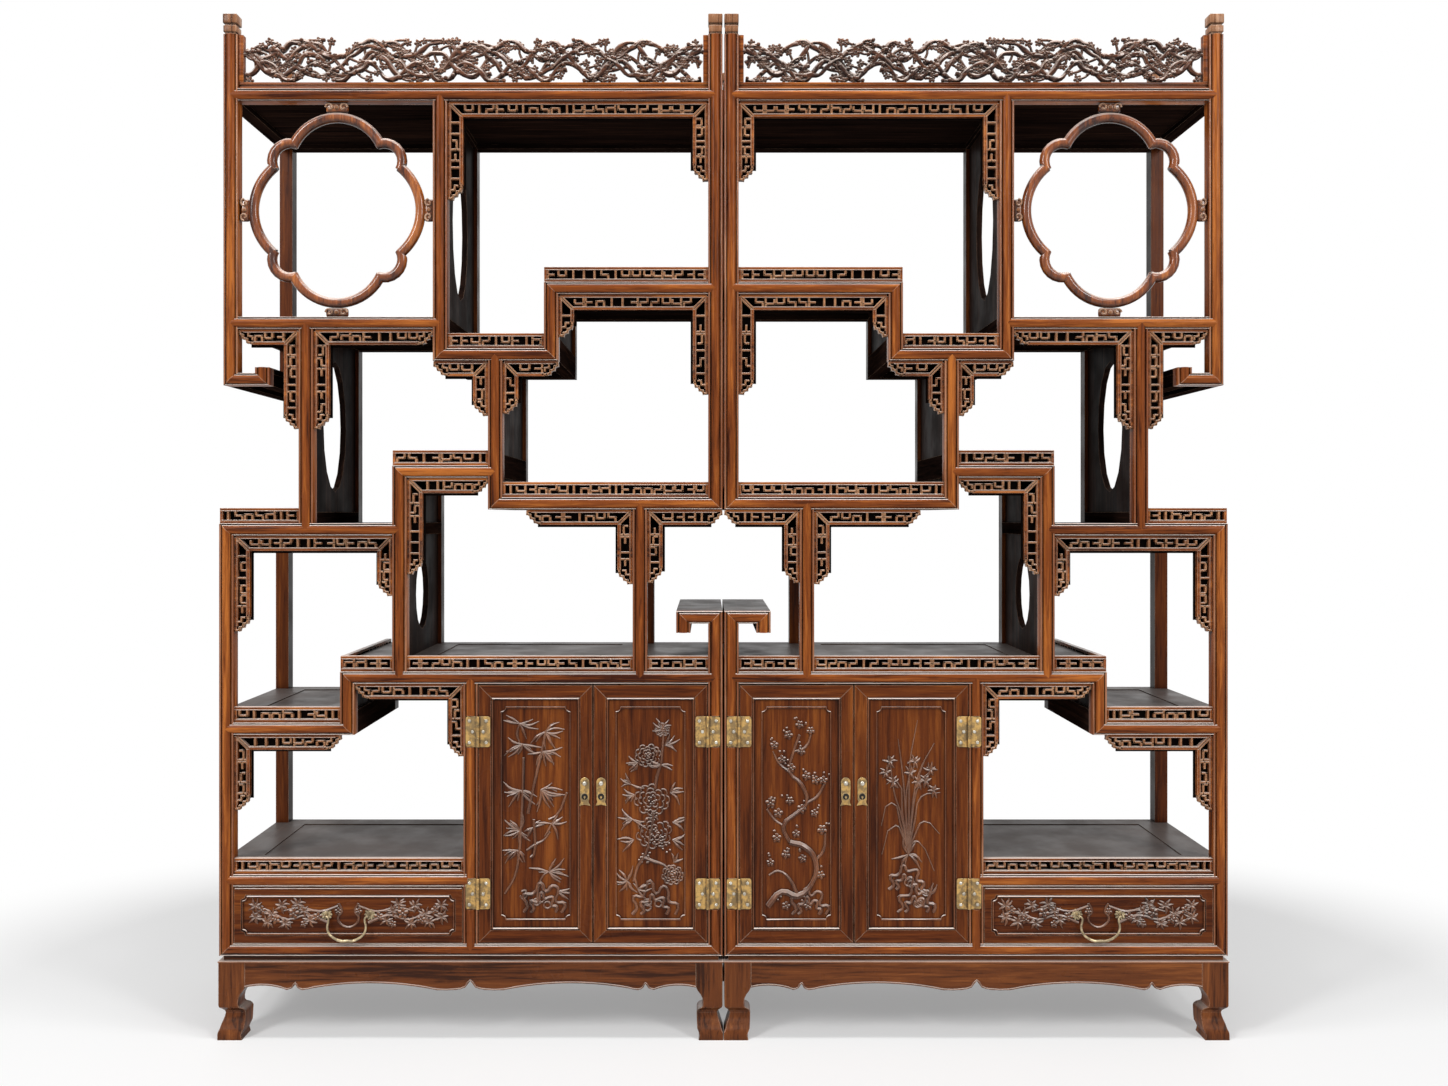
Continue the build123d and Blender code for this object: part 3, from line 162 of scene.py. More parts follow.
def make_hollows():
    """Ambient occlusion, 1 in a tight corner and 0 on an open face: painted shade in the woods, tarnish in
    the brass.
    """
    tree, given, out = group("dark_hollows", [("Reach", VALUE), ("Amount", VALUE)], [("Mask", VALUE)])
    open_sky = node(tree, "ShaderNodeAmbientOcclusion", {"Distance": given["Reach"]}, samples=4)
    shut = ramp(tree, open_sky.outputs["AO"], 0.35, 0.95, 1.0, 0.0)
    tree.links.new(math_of(tree, "MULTIPLY", shut, given["Amount"], True), out["Mask"])
    return tree


GRAIN, EDGE_WEAR_AND_GLINT, HOLLOWS = make_grain(), make_edge_wear(), make_hollows()


def placed_group(tree, which, **wires):
    return node(tree, "ShaderNodeGroup", wires, node_tree=which).outputs


def blank_material(name):
    made = bpy.data.materials.new(name)
    made.use_nodes = True
    made.node_tree.nodes.clear()
    return made, made.node_tree


STRETCH = {"upright": (1, 1, 0.05), "level": (0.05, 1, 1), "deep": (1, 0.05, 1)}


def wood(
    name, along, colours, rubbed_and_glint=RUBBED_AND_GLINT, wear=0.6, hollows=0.6, reach=0.012, rough=0.26, sheen=0.09,
    dust=0.0, sides=0.0, polish=0.0,
):
    """Lacquered wood with its grain running upright, level or from front to back.

    Edges lighten, partly from wearing, partly as a painted highlight; hollows take painted shade in reach; a
    painted highlight tops what faces up and shade what faces down; level tops go pale, partly dusty, partly a
    painted reflection; sides paints shade on what faces left or right.
    """
    made, tree = blank_material(name)
    place = node(tree, "ShaderNodeTexCoord").outputs["Object"]
    along_grain = node(tree, "ShaderNodeMapping", {"Vector": place, "Scale": STRETCH[along]}).outputs[0]
    grain = placed_group(tree, GRAIN, Vector=along_grain, **dict(zip(("Dark", "Middle", "Light"), colours)))
    # Edges lighten to the edge colour, partly from wearing, partly as a painted highlight; hollows darken as
    # painted shade
    wear_glint_mask = placed_group(tree, EDGE_WEAR_AND_GLINT, Vector=place, Radius=0.0016, Amount=wear)["Mask"]
    hidden = placed_group(tree, HOLLOWS, Reach=reach, Amount=hollows)["Mask"]
    colour = mixed(tree, hidden, mixed(tree, wear_glint_mask, grain["Color"], rubbed_and_glint), SHADE_BLACK)
    normal = node(tree, "ShaderNodeNewGeometry").outputs["Normal"]
    facing = node(tree, "ShaderNodeSeparateXYZ", {"Vector": normal}).outputs
    # Painted light: faces that look up lighten to a highlight, faces that look down darken to shade
    if polish:
        colour = mixed(tree, ramp(tree, facing["Z"], 0.25, 0.90, 0.0, polish), colour, TOP_HIGHLIGHT)
        colour = mixed(tree, ramp(tree, facing["Z"], -0.85, -0.10, polish, 0.0), colour, SHADE_BLACK)
    # Level tops go pale grey, partly dusty and partly a painted reflection; their specular keeps to the tops
    if dust:
        colour = mixed(tree, ramp(tree, facing["Z"], 0.6, 0.95, 0.0, dust), colour, DUST_AND_REFLECTION)
        sheen = ramp(tree, facing["Z"], 0.6, 0.95, 0.0, sheen)
    # Painted shade on faces that look left or right
    if sides:
        turned = ramp(tree, math_of(tree, "ABSOLUTE", facing["X"]), 0.5, 0.9, 0.0, sides)
        colour = mixed(tree, turned, colour, INSIDE[0])
    gloss = ramp(tree, noise(tree, place, 11.0, 3.0), 0.3, 0.7, rough - 0.07, rough + 0.12)
    bumps = node(tree, "ShaderNodeBump", {"Strength": 0.10, "Distance": 0.0006, "Height": grain["Height"]})
    shader = node(
        tree, "ShaderNodeBsdfPrincipled",
        {"Base Color": colour, "Roughness": gloss, "Normal": bumps.outputs[0], "Specular IOR Level": sheen},
    )
    node(tree, "ShaderNodeOutputMaterial", {"Surface": shader.outputs[0]})
    return made


def metal(name, bright, dull, rough=0.32):
    """Cast and filed brass, tarnished in patches and in its hollows."""
    made, tree = blank_material(name)
    place = node(tree, "ShaderNodeTexCoord").outputs["Object"]
    patches = ramp(tree, noise(tree, place, 75.0, 5.0, 0.7), 0.40, 0.58)
    hidden = placed_group(tree, HOLLOWS, Reach=0.004, Amount=0.7)["Mask"]
    wear_glint_mask = placed_group(tree, EDGE_WEAR_AND_GLINT, Vector=place, Radius=0.0008, Amount=0.8)["Mask"]
    stained = math_of(tree, "ADD", math_of(tree, "MULTIPLY", patches, 0.72), hidden, True)
    open_metal = mixed(tree, stained, bright, dull)
    colour = mixed(tree, wear_glint_mask, open_metal, BARE_BRASS)
    gloss = ramp(tree, patches, 0.0, 1.0, rough, rough + 0.22)
    pits = noise(tree, place, 700.0, 3.0, 0.6)
    bumps = node(tree, "ShaderNodeBump", {"Strength": 0.25, "Distance": 0.0002, "Height": pits})
    shader = node(
        tree, "ShaderNodeBsdfPrincipled",
        {"Base Color": colour, "Roughness": gloss, "Metallic": 0.85, "Normal": bumps.outputs[0]},
    )
    node(tree, "ShaderNodeOutputMaterial", {"Surface": shader.outputs[0]})
    return made


def woods(name, ways, colours, **looks):
    """The same wood with its grain running each of several ways."""
    return {along: wood(f"{name}_{along}", along, colours, **looks) for along in ways}


# The finishes below paint light into their colour as set: a highlight on edges and on faces that look up,
# shade in hollows and under faces that look down, a reflection on level tops
rosewood = woods("rosewood", STRETCH, HEART)
inner_wood = woods("inner_wood", STRETCH, INSIDE, wear=0.25, hollows=0.35, rough=0.50, sheen=0.010)
shelf_wood = woods(
    "shelf_wood", ("level", "deep"), INSIDE, wear=0.25, hollows=0.35, rough=0.40, sheen=0.10, dust=0.56
)
UPRIGHT_LEVEL = ("upright", "level")
stand_wood = woods("stand_wood", UPRIGHT_LEVEL, STAND, hollows=0.5, rough=0.30, sheen=0.12, polish=0.4)
door_wood = woods("panel_wood", UPRIGHT_LEVEL, PANEL, wear=0.5, hollows=0.9, reach=0.014, rough=0.30)
# Beads: partly wearing, partly painted highlight lines
bead_wear_and_highlight = woods(
    "bead_wear_and_highlight", UPRIGHT_LEVEL, BEAD_WEAR_AND_HIGHLIGHT, wear=0.40, hollows=0.10, rough=0.22, sheen=0.35, polish=1.0
)
# Panel beads lit by a painted highlight on what faces up
panel_bead = wood(
    "panel_bead", "upright", PANEL_BEAD, wear=0.15, hollows=0.35, reach=0.008, rough=0.22, sheen=0.3,
    polish=1.0,
)
fret_border = wood("fret_border", "level", HEART, wear=0.8, hollows=0.45, reach=0.005, polish=0.6)
# Near-black board behind the frets: painted shade seen through their openings
fret_shade_board = wood(
    "fret_shade_board", "level", (INSIDE[0], *INSIDE[:2]), wear=0.0, hollows=1.0, reach=0.02, rough=0.7, sheen=0.0
)
ring_wood = wood("ring_wood", "upright", HEART, wear=0.4, rough=0.18, polish=0.75, sheen=0.45)
# Painted shade for the sunk coves of the members and of the door frames
cove_shade = wood("cove_shade", "upright", COVE_SHADE, wear=0.2, hollows=0.9, rough=0.5, sheen=0.1)
# Back posts with painted shade on their faces that look left or right
back_post_wood = wood("back_post_wood", "upright", PANEL, wear=0.4, rough=0.34, sides=0.9)
scroll_wood = wood(
    "scroll_wood", "upright", SCROLL, (0.80, 0.60, 0.45, 1), wear=1.0, hollows=0.9, reach=0.003, polish=0.6
)
fret_key = wood(
    "fret_key", "level", KEY, (0.74, 0.47, 0.28, 1), wear=1.0, hollows=0.45, reach=0.004, rough=0.34,
    sheen=0.15, polish=0.5,
)
crest_wood = wood(
    "crest_wood", "level", CREST, (0.56, 0.38, 0.27, 1), hollows=1.0, reach=0.010, sheen=0.20, polish=0.80
)
carved_wood = wood(
    "carved_wood", "upright", CARVED, (0.55, 0.36, 0.26, 1), wear=0.40, hollows=1.0, reach=0.006, rough=0.22,
    sheen=0.30, polish=0.80,
)
brass = metal("worn_brass", BRASS, TARNISH)
pull_metal = metal("pull_metal", (0.60, 0.48, 0.29, 1), TARNISH, 0.28)
silver_stud = metal("bright_stud", (0.66, 0.63, 0.55, 1), (0.3, 0.26, 0.2, 1), 0.22)
dark_iron = metal("dark_cylinder", (0.035, 0.031, 0.028, 1), (0.02, 0.018, 0.016, 1), 0.3)


# ---------------------------------------------------------------- mesh helpers
def solids(name):
    """Low and high corners of each separate solid in a CAD node."""
    shape = bmesh.new()
    shape.from_mesh(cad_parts[name].data)
    bmesh.ops.remove_doubles(shape, verts=shape.verts, dist=0.00001)
    unseen, found = set(shape.verts), []
    while unseen:
        queue, island = [unseen.pop()], []
        while queue:
            vertex = queue.pop()
            island.append(vertex.co.copy())
            for edge in vertex.link_edges:
                other = edge.other_vert(vertex)
                if other in unseen:
                    unseen.remove(other)
                    queue.append(other)
        found.append(tuple(Vector(limit(p[i] for p in island) for i in range(3)) for limit in (min, max)))
    shape.free()
    return sorted(found, key=lambda box: (round(box[0].x, 4), round(box[0].z, 4), round(box[0].y, 4)))


def pour(target, shape, place=None, finish=None):
    """Adds one shape to another, placed by a matrix and given a material number."""
    if place is not None:
        bmesh.ops.transform(shape, matrix=place, verts=shape.verts)
    if finish is not None:
        for face in shape.faces:
            face.material_index = finish
    bmesh.ops.recalc_face_normals(shape, faces=shape.faces)
    carrier = bpy.data.meshes.new("carrier")
    shape.to_mesh(carrier)
    target.from_mesh(carrier)
    bpy.data.meshes.remove(carrier)
    shape.free()


def prism(outline, start, stop):
    """An outline of (across, deep) points pushed along its third axis."""
    shape = bmesh.new()
    face = shape.faces.new([shape.verts.new((a, d, start)) for a, d in outline])
    pushed = bmesh.ops.extrude_face_region(shape, geom=[face])["geom"]
    ends = [item for item in pushed if isinstance(item, bmesh.types.BMVert)]
    bmesh.ops.translate(shape, vec=(0, 0, stop - start), verts=ends)
    return shape


def cut(shape, point, normal):
    """Cuts away what lies beyond a plane and closes the cut."""
    everything = shape.verts[:] + shape.edges[:] + shape.faces[:]
    made = bmesh.ops.bisect_plane(shape, geom=everything, plane_co=point, plane_no=normal, clear_outer=True)
    rim = [item for item in made["geom_cut"] if isinstance(item, bmesh.types.BMEdge)]
    bmesh.ops.holes_fill(shape, edges=rim)


def block(low, high, radius=0.0, segments=1):
    """A block with softened edges."""
    shape = bmesh.new()
    low, high = Vector(low), Vector(high)
    place = Matrix.LocRotScale((low + high) / 2, None, high - low)
    bmesh.ops.create_cube(shape, size=1.0, matrix=place)
    if radius:
        soften(shape, shape.edges[:], radius, segments)
    return shape


def soften(shape, edges, radius, segments=1):
    bmesh.ops.bevel(
        shape, geom=edges, offset=radius, segments=segments, profile=0.5, affect="EDGES",
        material=-1, clamp_overlap=True,
    )


def edges_at(shape, axis, level):
    """Edges that lie wholly at one level of an axis."""
    return [e for e in shape.edges if all(abs(v.co[axis] - level) < 1e-6 for v in e.verts)]


def soften_front(shape, y, radius):
    """Softens the edges that lie wholly in front of y."""
    soften(shape, [e for e in shape.edges if all(v.co.y < y for v in e.verts)], radius)


def polar(x, z, angle, reach):
    """The point at some angle and distance from (x, z)."""
    return x + math.cos(angle) * reach, z + math.sin(angle) * reach


def clamp(value, low, high):
    return min(max(value, low), high)


def centre(low, high):
    """Across and up of the middle of a box."""
    return (low.x + high.x) / 2, (low.z + high.z) / 2


def drum(middle, radius, y_back, y_front, sides=16, dome=0.0):
    """A round stud that faces the front, its face domed a little."""
    shape = bmesh.new()
    depth = y_back - y_front
    at = Matrix.Translation((middle[0], (y_back + y_front) / 2, middle[1]))
    stand = at @ Matrix.Rotation(math.pi / 2, 4, "X")
    bmesh.ops.create_cone(
        shape, cap_ends=True, segments=sides, radius1=radius, radius2=radius, depth=depth, matrix=stand
    )
    if dome:
        soften(shape, edges_at(shape, 1, y_front), dome, 3)
    return shape


def petal(size, place):
    """A small rounded lump, stretched and turned by its matrix."""
    shape = bmesh.new()
    bmesh.ops.create_uvsphere(shape, u_segments=6, v_segments=4, radius=1.0)
    bmesh.ops.transform(shape, matrix=place @ Matrix.Diagonal((*size, 1)), verts=shape.verts)
    return shape


def lump(target, spot, size, turn=0.0, finish=None):
    """Adds a small rounded lump, turned by an angle in the plane of the front."""
    pour(target, petal(size, Matrix.Translation(spot) @ Matrix.Rotation(-turn, 4, "Y")), finish=finish)


def strands(lines, sides=1, smooth=3):
    """Round rods along smooth lines of (x, y, z, radius) points, as one mesh."""
    curve = bpy.data.curves.new("strands", "CURVE")
    curve.dimensions = "3D"
    curve.resolution_u = smooth
    curve.bevel_depth = 1.0
    curve.bevel_resolution = sides
    curve.use_fill_caps = True
    for points in lines:
        spline = curve.splines.new("BEZIER")
        spline.bezier_points.add(len(points) - 1)
        for knot, (x, y, z, radius) in zip(spline.bezier_points, points):
            knot.co = (x, y, z)
            knot.radius = radius
            knot.handle_left_type = knot.handle_right_type = "AUTO"
    carrier = bpy.data.objects.new("strands", curve)
    bpy.context.scene.collection.objects.link(carrier)
    view = bpy.context.evaluated_depsgraph_get()
    mesh = bpy.data.meshes.new_from_object(carrier.evaluated_get(view))
    shape = bmesh.new()
    shape.from_mesh(mesh)
    bmesh.ops.remove_doubles(shape, verts=shape.verts, dist=1e-6)
    bpy.data.objects.remove(carrier)
    bpy.data.curves.remove(curve)
    bpy.data.meshes.remove(mesh)
    return shape


def piece(name, shape, materials, body, nodes=(), sharp=38):
    mesh = bpy.data.meshes.new(name)
    for face in shape.faces:
        face.smooth = True
    shape.to_mesh(mesh)
    for material in materials:
        mesh.materials.append(material)
    mesh.set_sharp_from_angle(angle=math.radians(sharp))
    made = bpy.data.objects.new(name, mesh)
    bpy.context.scene.collection.objects.link(made)
    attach(made, body)
    if nodes:
        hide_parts(*nodes)
    return made


def both(name, shape, materials, body, nodes=(), sharp=38):
    """The piece on the right-hand cabinet and its mirror image on the left-hand one."""
    for side, sign in SIDES.items():
        twin = shape.copy()
        if sign < 0:
            bmesh.ops.scale(twin, vec=(-1, 1, 1), verts=twin.verts)
            bmesh.ops.recalc_face_normals(twin, faces=twin.faces)
        rides = "cabinets" if body == "cabinets" else f"{side}_{body}"
        piece(f"{side}_{name}", twin, materials, rides, [f"{side}_{n}" for n in nodes], sharp)
        twin.free()
    shape.free()


# ---------------------------------------------------------------- front framing
def members(name, upright):
    """Front posts or rails as (centre line, lower end, upper end)."""
    found = []
    for low, high in solids(name):
        across, along = (0, 2) if upright else (2, 0)
        found.append(((low[across] + high[across]) / 2, low[along], high[along]))
    return found


posts, rails = members("right_front_posts", True), members("right_front_rails", False)
leaves = solids("right_hinge_post_leaves")


def end_of(at, end, out, crossing, half):
    """How a member ends: its kind, the crossing member's centre line and the mitre's side."""
    for other, low, high in crossing:
        if low - 0.001 <= at <= high + 0.001 and abs(end - other) < TOUCHING:
            return "tongue", other, 0
        if abs(end - other - out * half) < TOUCHING:
            own_half = (POST_W + RAIL_W) / 2 - half
            for corner, side in ((low + own_half, 1), (high - own_half, -1)):
                if abs(corner - at) < TOUCHING:
                    return "mitre", other, side
    return "square", end, 0


def edge_outline(half, bead):
    """Section of a member without its pillow: a thin bead along each edge, a sunk cove inside."""
    right = [
        (half, POST_W - BEAD_RISE), (half, 0.0012), (half - bead * 0.12, 0.0001),
        (half - bead * 0.5, -0.0004), (half - bead * 0.85, 0.0001), (half - bead, 0.0014),
        (half - bead - 0.0002, 0.0036), (0.0, 0.0036),
    ]
    left = [(-a, d) for a, d in right[:-1]]
    return [(a, FACE + d) for a, d in right + left[::-1]]


def pillow_outline(half):
    steps = 7
    shares = [i / steps for i in range(steps, -steps - 1, -1)]
    top = FACE - BEAD_RISE * 0.98
    arc = [(share * half, top + (BEAD_RISE + 0.0006) * abs(share) ** 2.6) for share in shares]
    return [(half, FACE + 0.0045)] + arc + [(-half, FACE + 0.0045)]


def member_shape(target, member, crossing, upright):
    """A post or rail: its moulded base and its pillow, which stops short of the hinge leaves."""
    at, low, high = member
    own, other = (POST_W, RAIL_W) if upright else (RAIL_W, POST_W)
    base_ends, pillow_ends, cuts = [], [], []
    for end, out in ((low, -1), (high, 1)):
        kind, crossing_at, side = end_of(at, end, out, crossing, other / 2)
        under_leaf = not upright and kind == "tongue" and any(
            a.z < at < b.z and a.x < end + other / 2 and b.x > end - other / 2 for a, b in leaves
        )
        base_ends.append(end - out * other / 2 if kind == "tongue" else end)
        pillow_ends.append(end - out * other / 2 if under_leaf else end)
        if kind == "mitre":
            cuts.append((crossing_at, out, side))
    bead = own / 2 - PILLOW_HALF - COVE_W
    base = prism(edge_outline(own / 2, bead), *base_ends)
    for face in base.faces:
        middle = face.calc_center_median()
        across, deep = abs(middle.x), middle.y - FACE
        if abs(face.normal.z) >= 0.5:
            continue
        # Edge beads take the bead finish (wearing and painted highlight); coves take the painted cove shade
        if across > own / 2 - bead * 0.95 and deep < 0.0010:
            face.material_index = 1
        elif across < own / 2 - bead * 0.98 and deep < 0.0045:
            face.material_index = 2
    gaps = sorted(
        (a.z - LEAF_GAP, b.z + LEAF_GAP) for a, b in leaves
        if upright and a.x < at + own / 2 and b.x > at - own / 2
    )
    stops = [pillow_ends[0], *(z for gap in gaps for z in gap), pillow_ends[1]]
    shapes = [(base, own, other)]
    for span in zip(stops[::2], stops[1::2]):
        pillow = prism(pillow_outline(PILLOW_HALF), *span)
        for face in pillow.faces:
            share = face.calc_center_median().x / PILLOW_HALF
            # A facet on each rail's upper shoulder takes the bead finish: a painted highlight line
            if not upright and 0.80 < share < 0.97 and abs(face.normal.z) < 0.5:
                face.material_index = 1
        shapes.append((pillow, 1, 1))
    place = Matrix.Translation((at, 0, 0)) if upright else Matrix.Translation((0, 0, at)) @ SWAP
    for shape, along_weight, across_weight in shapes:
        for crossing_at, out, side in cuts:
            cut(shape, (0, 0, crossing_at), (side * across_weight, 0, out * along_weight))
        pour(target, shape, place)


for name, group_members, crossing, upright in (
    ("front_posts", posts, rails, True), ("front_rails", rails, posts, False),
):
    target = bmesh.new()
    for member in group_members:
        member_shape(target, member, crossing, upright)
    way = "upright" if upright else "level"
    finishes = [rosewood[way], bead_wear_and_highlight[way], cove_shade]
    both(name, target, finishes, "cabinets", [name], sharp=50)

# ---------------------------------------------------------------- lobed ring window
END_LOBE, SIDE_LOBE, CORNER_LOBE = (0, 0.0868, 0.0949), (0.0543, 0, 0.1093), (0.0918, 0.0960, 0.0359)
RING_R = 0.0099


def cusp(lobe, other):
    """Where the circles of two lobes meet, away from the ring's middle."""
    (ax, az, ar), (bx, bz, br) = lobe, other
    apart = math.hypot(bx - ax, bz - az)
    along = (ar**2 - br**2 + apart**2) / (2 * apart)
    across = math.sqrt(ar**2 - along**2)
    ux, uz = (bx - ax) / apart, (bz - az) / apart
    x, z = ax + along * ux, az + along * uz
    ends = ((x - across * uz, z + across * ux), (x + across * uz, z - across * ux))
    return max(ends, key=lambda p: math.hypot(*p))


END_CUSP, SIDE_CUSP = cusp(END_LOBE, CORNER_LOBE), cusp(CORNER_LOBE, SIDE_LOBE)


def lobe_rod(lobe, start, stop):
    """A bent rod between two cusps, mitred there to its neighbours."""
    x, z, radius = lobe
    first = math.atan2(start[1] - z, start[0] - x)
    sweep = (math.atan2(stop[1] - z, stop[0] - x) - first) % math.tau
    if sweep > math.pi * 1.5:
        first, sweep = first + sweep, math.tau - sweep
        start, stop = stop, start
    spare = 0.16
    shape = bmesh.new()
    upright = Matrix.Translation((x + radius, 0, z))
    bmesh.ops.create_circle(shape, cap_ends=True, segments=18, radius=RING_R, matrix=upright)
    bmesh.ops.rotate(
        shape, cent=(x, 0, z), matrix=Matrix.Rotation(-(first - spare), 3, "Y"), verts=shape.verts
    )
    bmesh.ops.spin(
        shape, geom=shape.faces[:], cent=(x, 0, z), axis=(0, -1, 0), angle=sweep + 2 * spare,
        steps=max(8, round(radius * sweep / 0.009)),
    )
    for corner, sense in ((start, -1), (stop, 1)):
        cut(shape, (0, 0, 0), (-corner[1] * sense, 0, corner[0] * sense))
    return shape


ring_place = Matrix.Translation([(a + b) / 2 for a, b in zip(*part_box("right_ring_window"))])
window = bmesh.new()
for sx in (1, -1):
    for sz in (1, -1):
        lobe = (sx * CORNER_LOBE[0], sz * CORNER_LOBE[1], CORNER_LOBE[2])
        ends = [(sx * SIDE_CUSP[0], sz * SIDE_CUSP[1]), (sx * END_CUSP[0], sz * END_CUSP[1])]
        pour(window, lobe_rod(lobe, *(ends if sx * sz > 0 else ends[::-1])), ring_place)
    ends = [(sx * SIDE_CUSP[0], -sx * SIDE_CUSP[1]), (sx * SIDE_CUSP[0], sx * SIDE_CUSP[1])]
    pour(window, lobe_rod((sx * SIDE_LOBE[0], 0, SIDE_LOBE[2]), *ends), ring_place)
    ends = [(sx * END_CUSP[0], sx * END_CUSP[1]), (-sx * END_CUSP[0], sx * END_CUSP[1])]
    pour(window, lobe_rod((0, sx * END_LOBE[1], END_LOBE[2]), *ends), ring_place)


def scroll_block(target, low, high):
    """A cloud block: a rounded body with curled volutes and a bud on its face."""
    middle, size = (low + high) / 2, high - low
    small = min(size.x, size.z)
    body = block(low + Vector((0, 0.003, 0)), high - Vector((0, 0.001, 0)), small * 0.3, 3)
    pour(target, body, finish=0)
    across = Vector((1, 0, 0)) if size.x > size.z else Vector((0, 0, 1))
    over = Vector((0, 0, 1)) if size.x > size.z else Vector((1, 0, 0))
    lines = []
    for way in (1, -1):
        heart = middle + across * way * (max(size.x, size.z) / 2 - small * 0.42)
        curl = []
        for i in range(9):
            angle = i * 0.75
            reach = small * (0.40 - 0.036 * i)
            spot = heart + across * way * math.cos(angle) * reach + over * math.sin(angle) * reach
            curl.append((spot.x, low.y + 0.0022, spot.z, 0.0021))
        lines.append(curl)
    pour(target, strands(lines), finish=1)
    lump(target, (middle.x, low.y + 0.0024, middle.z), (small * 0.26, 0.0022, small * 0.26), finish=1)


# The cloud blocks are the only solids of the window that are no larger than this
BLOCK_LENGTH, BLOCK_DEPTH = 0.0465, 0.0206
for low, high in solids("right_ring_window"):
    sides = (high.x - low.x, high.z - low.z)
    if max(sides) < BLOCK_LENGTH and min(sides) < BLOCK_DEPTH:
        scroll_block(window, low, high)
both("ring_window", window, [ring_wood, scroll_wood], "cabinets", ["ring_window"], sharp=50)

# ---------------------------------------------------------------- pierced frets
FRET_FINISHES = [fret_border, fret_key, fret_shade_board, bead_wear_and_highlight["level"]]
FRET_BORDER_W, KEY_W = 0.0050, 0.0040
KEY_CELL = 0.0210
# Strokes of one cell of the key pattern, on a grid of 1 by 1: (from, to)
KEY_CELLS = (
    (((0.1, 0.0), (0.1, 1.0)), ((0.1, 0.5), (0.62, 0.5))),
    (((0.2, 0.0), (0.2, 0.62)), ((0.2, 0.62), (0.9, 0.62)), ((0.9, 0.62), (0.9, 0.0))),
    (((0.1, 0.0), (0.1, 1.0)), ((0.1, 0.34), (0.9, 0.34)), ((0.9, 0.34), (0.9, 0.72))),
    (((0.5, 0.0), (0.5, 1.0)),),
    (((0.15, 0.0), (0.15, 0.5)), ((0.15, 0.5), (0.8, 0.5)), ((0.8, 0.5), (0.8, 1.0))),
)
chance = random.Random(7)


def bar(shape, start, stop, width, y, finish=0):
    """A straight bar of a fret between two (along, across) points."""
    (s0, t0), (s1, t1) = start, stop
    length = math.hypot(s1 - s0, t1 - t0) + width
    middle = ((s0 + s1) / 2, (y[0] + y[1]) / 2, (t0 + t1) / 2)
    turn = Matrix.Rotation(-math.atan2(t1 - t0, s1 - s0), 4, "Y")
    place = Matrix.Translation(middle) @ turn @ Matrix.Diagonal((length, y[1] - y[0], width, 1))
    made = bmesh.ops.create_cube(shape, size=1.0, matrix=place)
    for face in {f for v in made["verts"] for f in v.link_faces}:
        face.material_index = finish


def fret_strip(length, band, start, end, thickness):
    """A pierced strip along its first axis; across is 0 at the member that carries it."""
    shape = bmesh.new()
    edge, y = FRET_BORDER_W, (0.0006, thickness)
    room = {"square": 0.0, "mitre": band, "lobed": band}
    for t, trim in ((edge / 2, 0.1), (band - edge / 2, 0.94)):
        a, b = (room[kind] * trim for kind in (start, end))
        bar(shape, (a + edge / 2, t), (length - b - edge / 2, t), edge, y)
    for at, kind, way in ((0, start, 1), (length, end, -1)):
        if kind == "square":
            bar(shape, (at + way * edge / 2, edge * 1.5), (at + way * edge / 2, band - edge * 1.5), edge, y)
        elif kind == "mitre":
            corner = at + way * 0.0028
            bar(shape, (corner + way * edge, edge), (corner + way * (band - edge), band - edge), 0.0030, y, 1)
    # Thin bead bars inside the border take the bead finish: wearing and painted highlight lines
    for t in (edge + 0.0009, band - edge - 0.0009):
        trim = t / band
        a, b = (room[kind] * trim + edge for kind in (start, end))
        bar(shape, (a, t), (length - b, t), 0.0016, (0.0001, thickness - 0.002), 3)
    # Near-black boards at the back: painted shade in the openings
    for (s0, s1), (t0, t1) in backing(length, band, start, end):
        board = block((s0, thickness - 0.0012, t0), (s1, thickness - 0.0002, t1))
        pour(shape, board, finish=2)
    soften_front(shape, 0.001, 0.0006)
    keys = bmesh.new()
    first, last = room[start] * 0.82 + edge, length - room[end] * 0.82 - edge
    cells = max(1, round((last - first) / KEY_CELL))
    step = (last - first) / cells
    low, high = edge + 0.0012, band - edge - 0.0012
    for i in range(cells):
        flip, turn = chance.random() < 0.5, chance.random() < 0.5
        for (s0, t0), (s1, t1) in chance.choice(KEY_CELLS):
            if flip:
                s0, s1 = 1 - s0, 1 - s1
            if turn:
                t0, t1 = 1 - t0, 1 - t1
            spots = [(first + (i + s) * step, low + t * (high - low)) for s, t in ((s0, t0), (s1, t1))]
            bar(keys, *spots, KEY_W, (0.0010, thickness), 1)
    soften_front(keys, 0.0012, 0.0009)
    pour(shape, keys)
    for at, kind, way in ((0, start, 1), (length, end, -1)):
        if kind == "lobed":
            cloud_end(shape, at, way, band, thickness)
    return shape


# The stepped outline of a free end and the hook inside it, in shares of the strip's depth
CLOUD_LINE = (
    (0.08, 0.10), (0.07, 0.30), (0.24, 0.36), (0.30, 0.56), (0.50, 0.62), (0.56, 0.82), (0.78, 0.88),
    (1.04, 0.88),
)
CLOUD_HOOK = ((0.62, 0.14), (0.62, 0.44), (0.90, 0.46), (0.90, 0.64))


def cloud_end(shape, at, way, band, thickness):
    """A free end that steps back to the member in small clouds round a hook."""
    cloud = bmesh.new()
    for line, width in ((CLOUD_LINE, 0.0042), (CLOUD_HOOK, 0.0034)):
        spots = [(at + way * s * band, t * band) for s, t in line]
        for start, stop in zip(spots, spots[1:]):
            bar(cloud, start, stop, width, (0.0006, thickness), 1)
    soften_front(cloud, 0.0008, 0.0009)
    pour(shape, cloud)


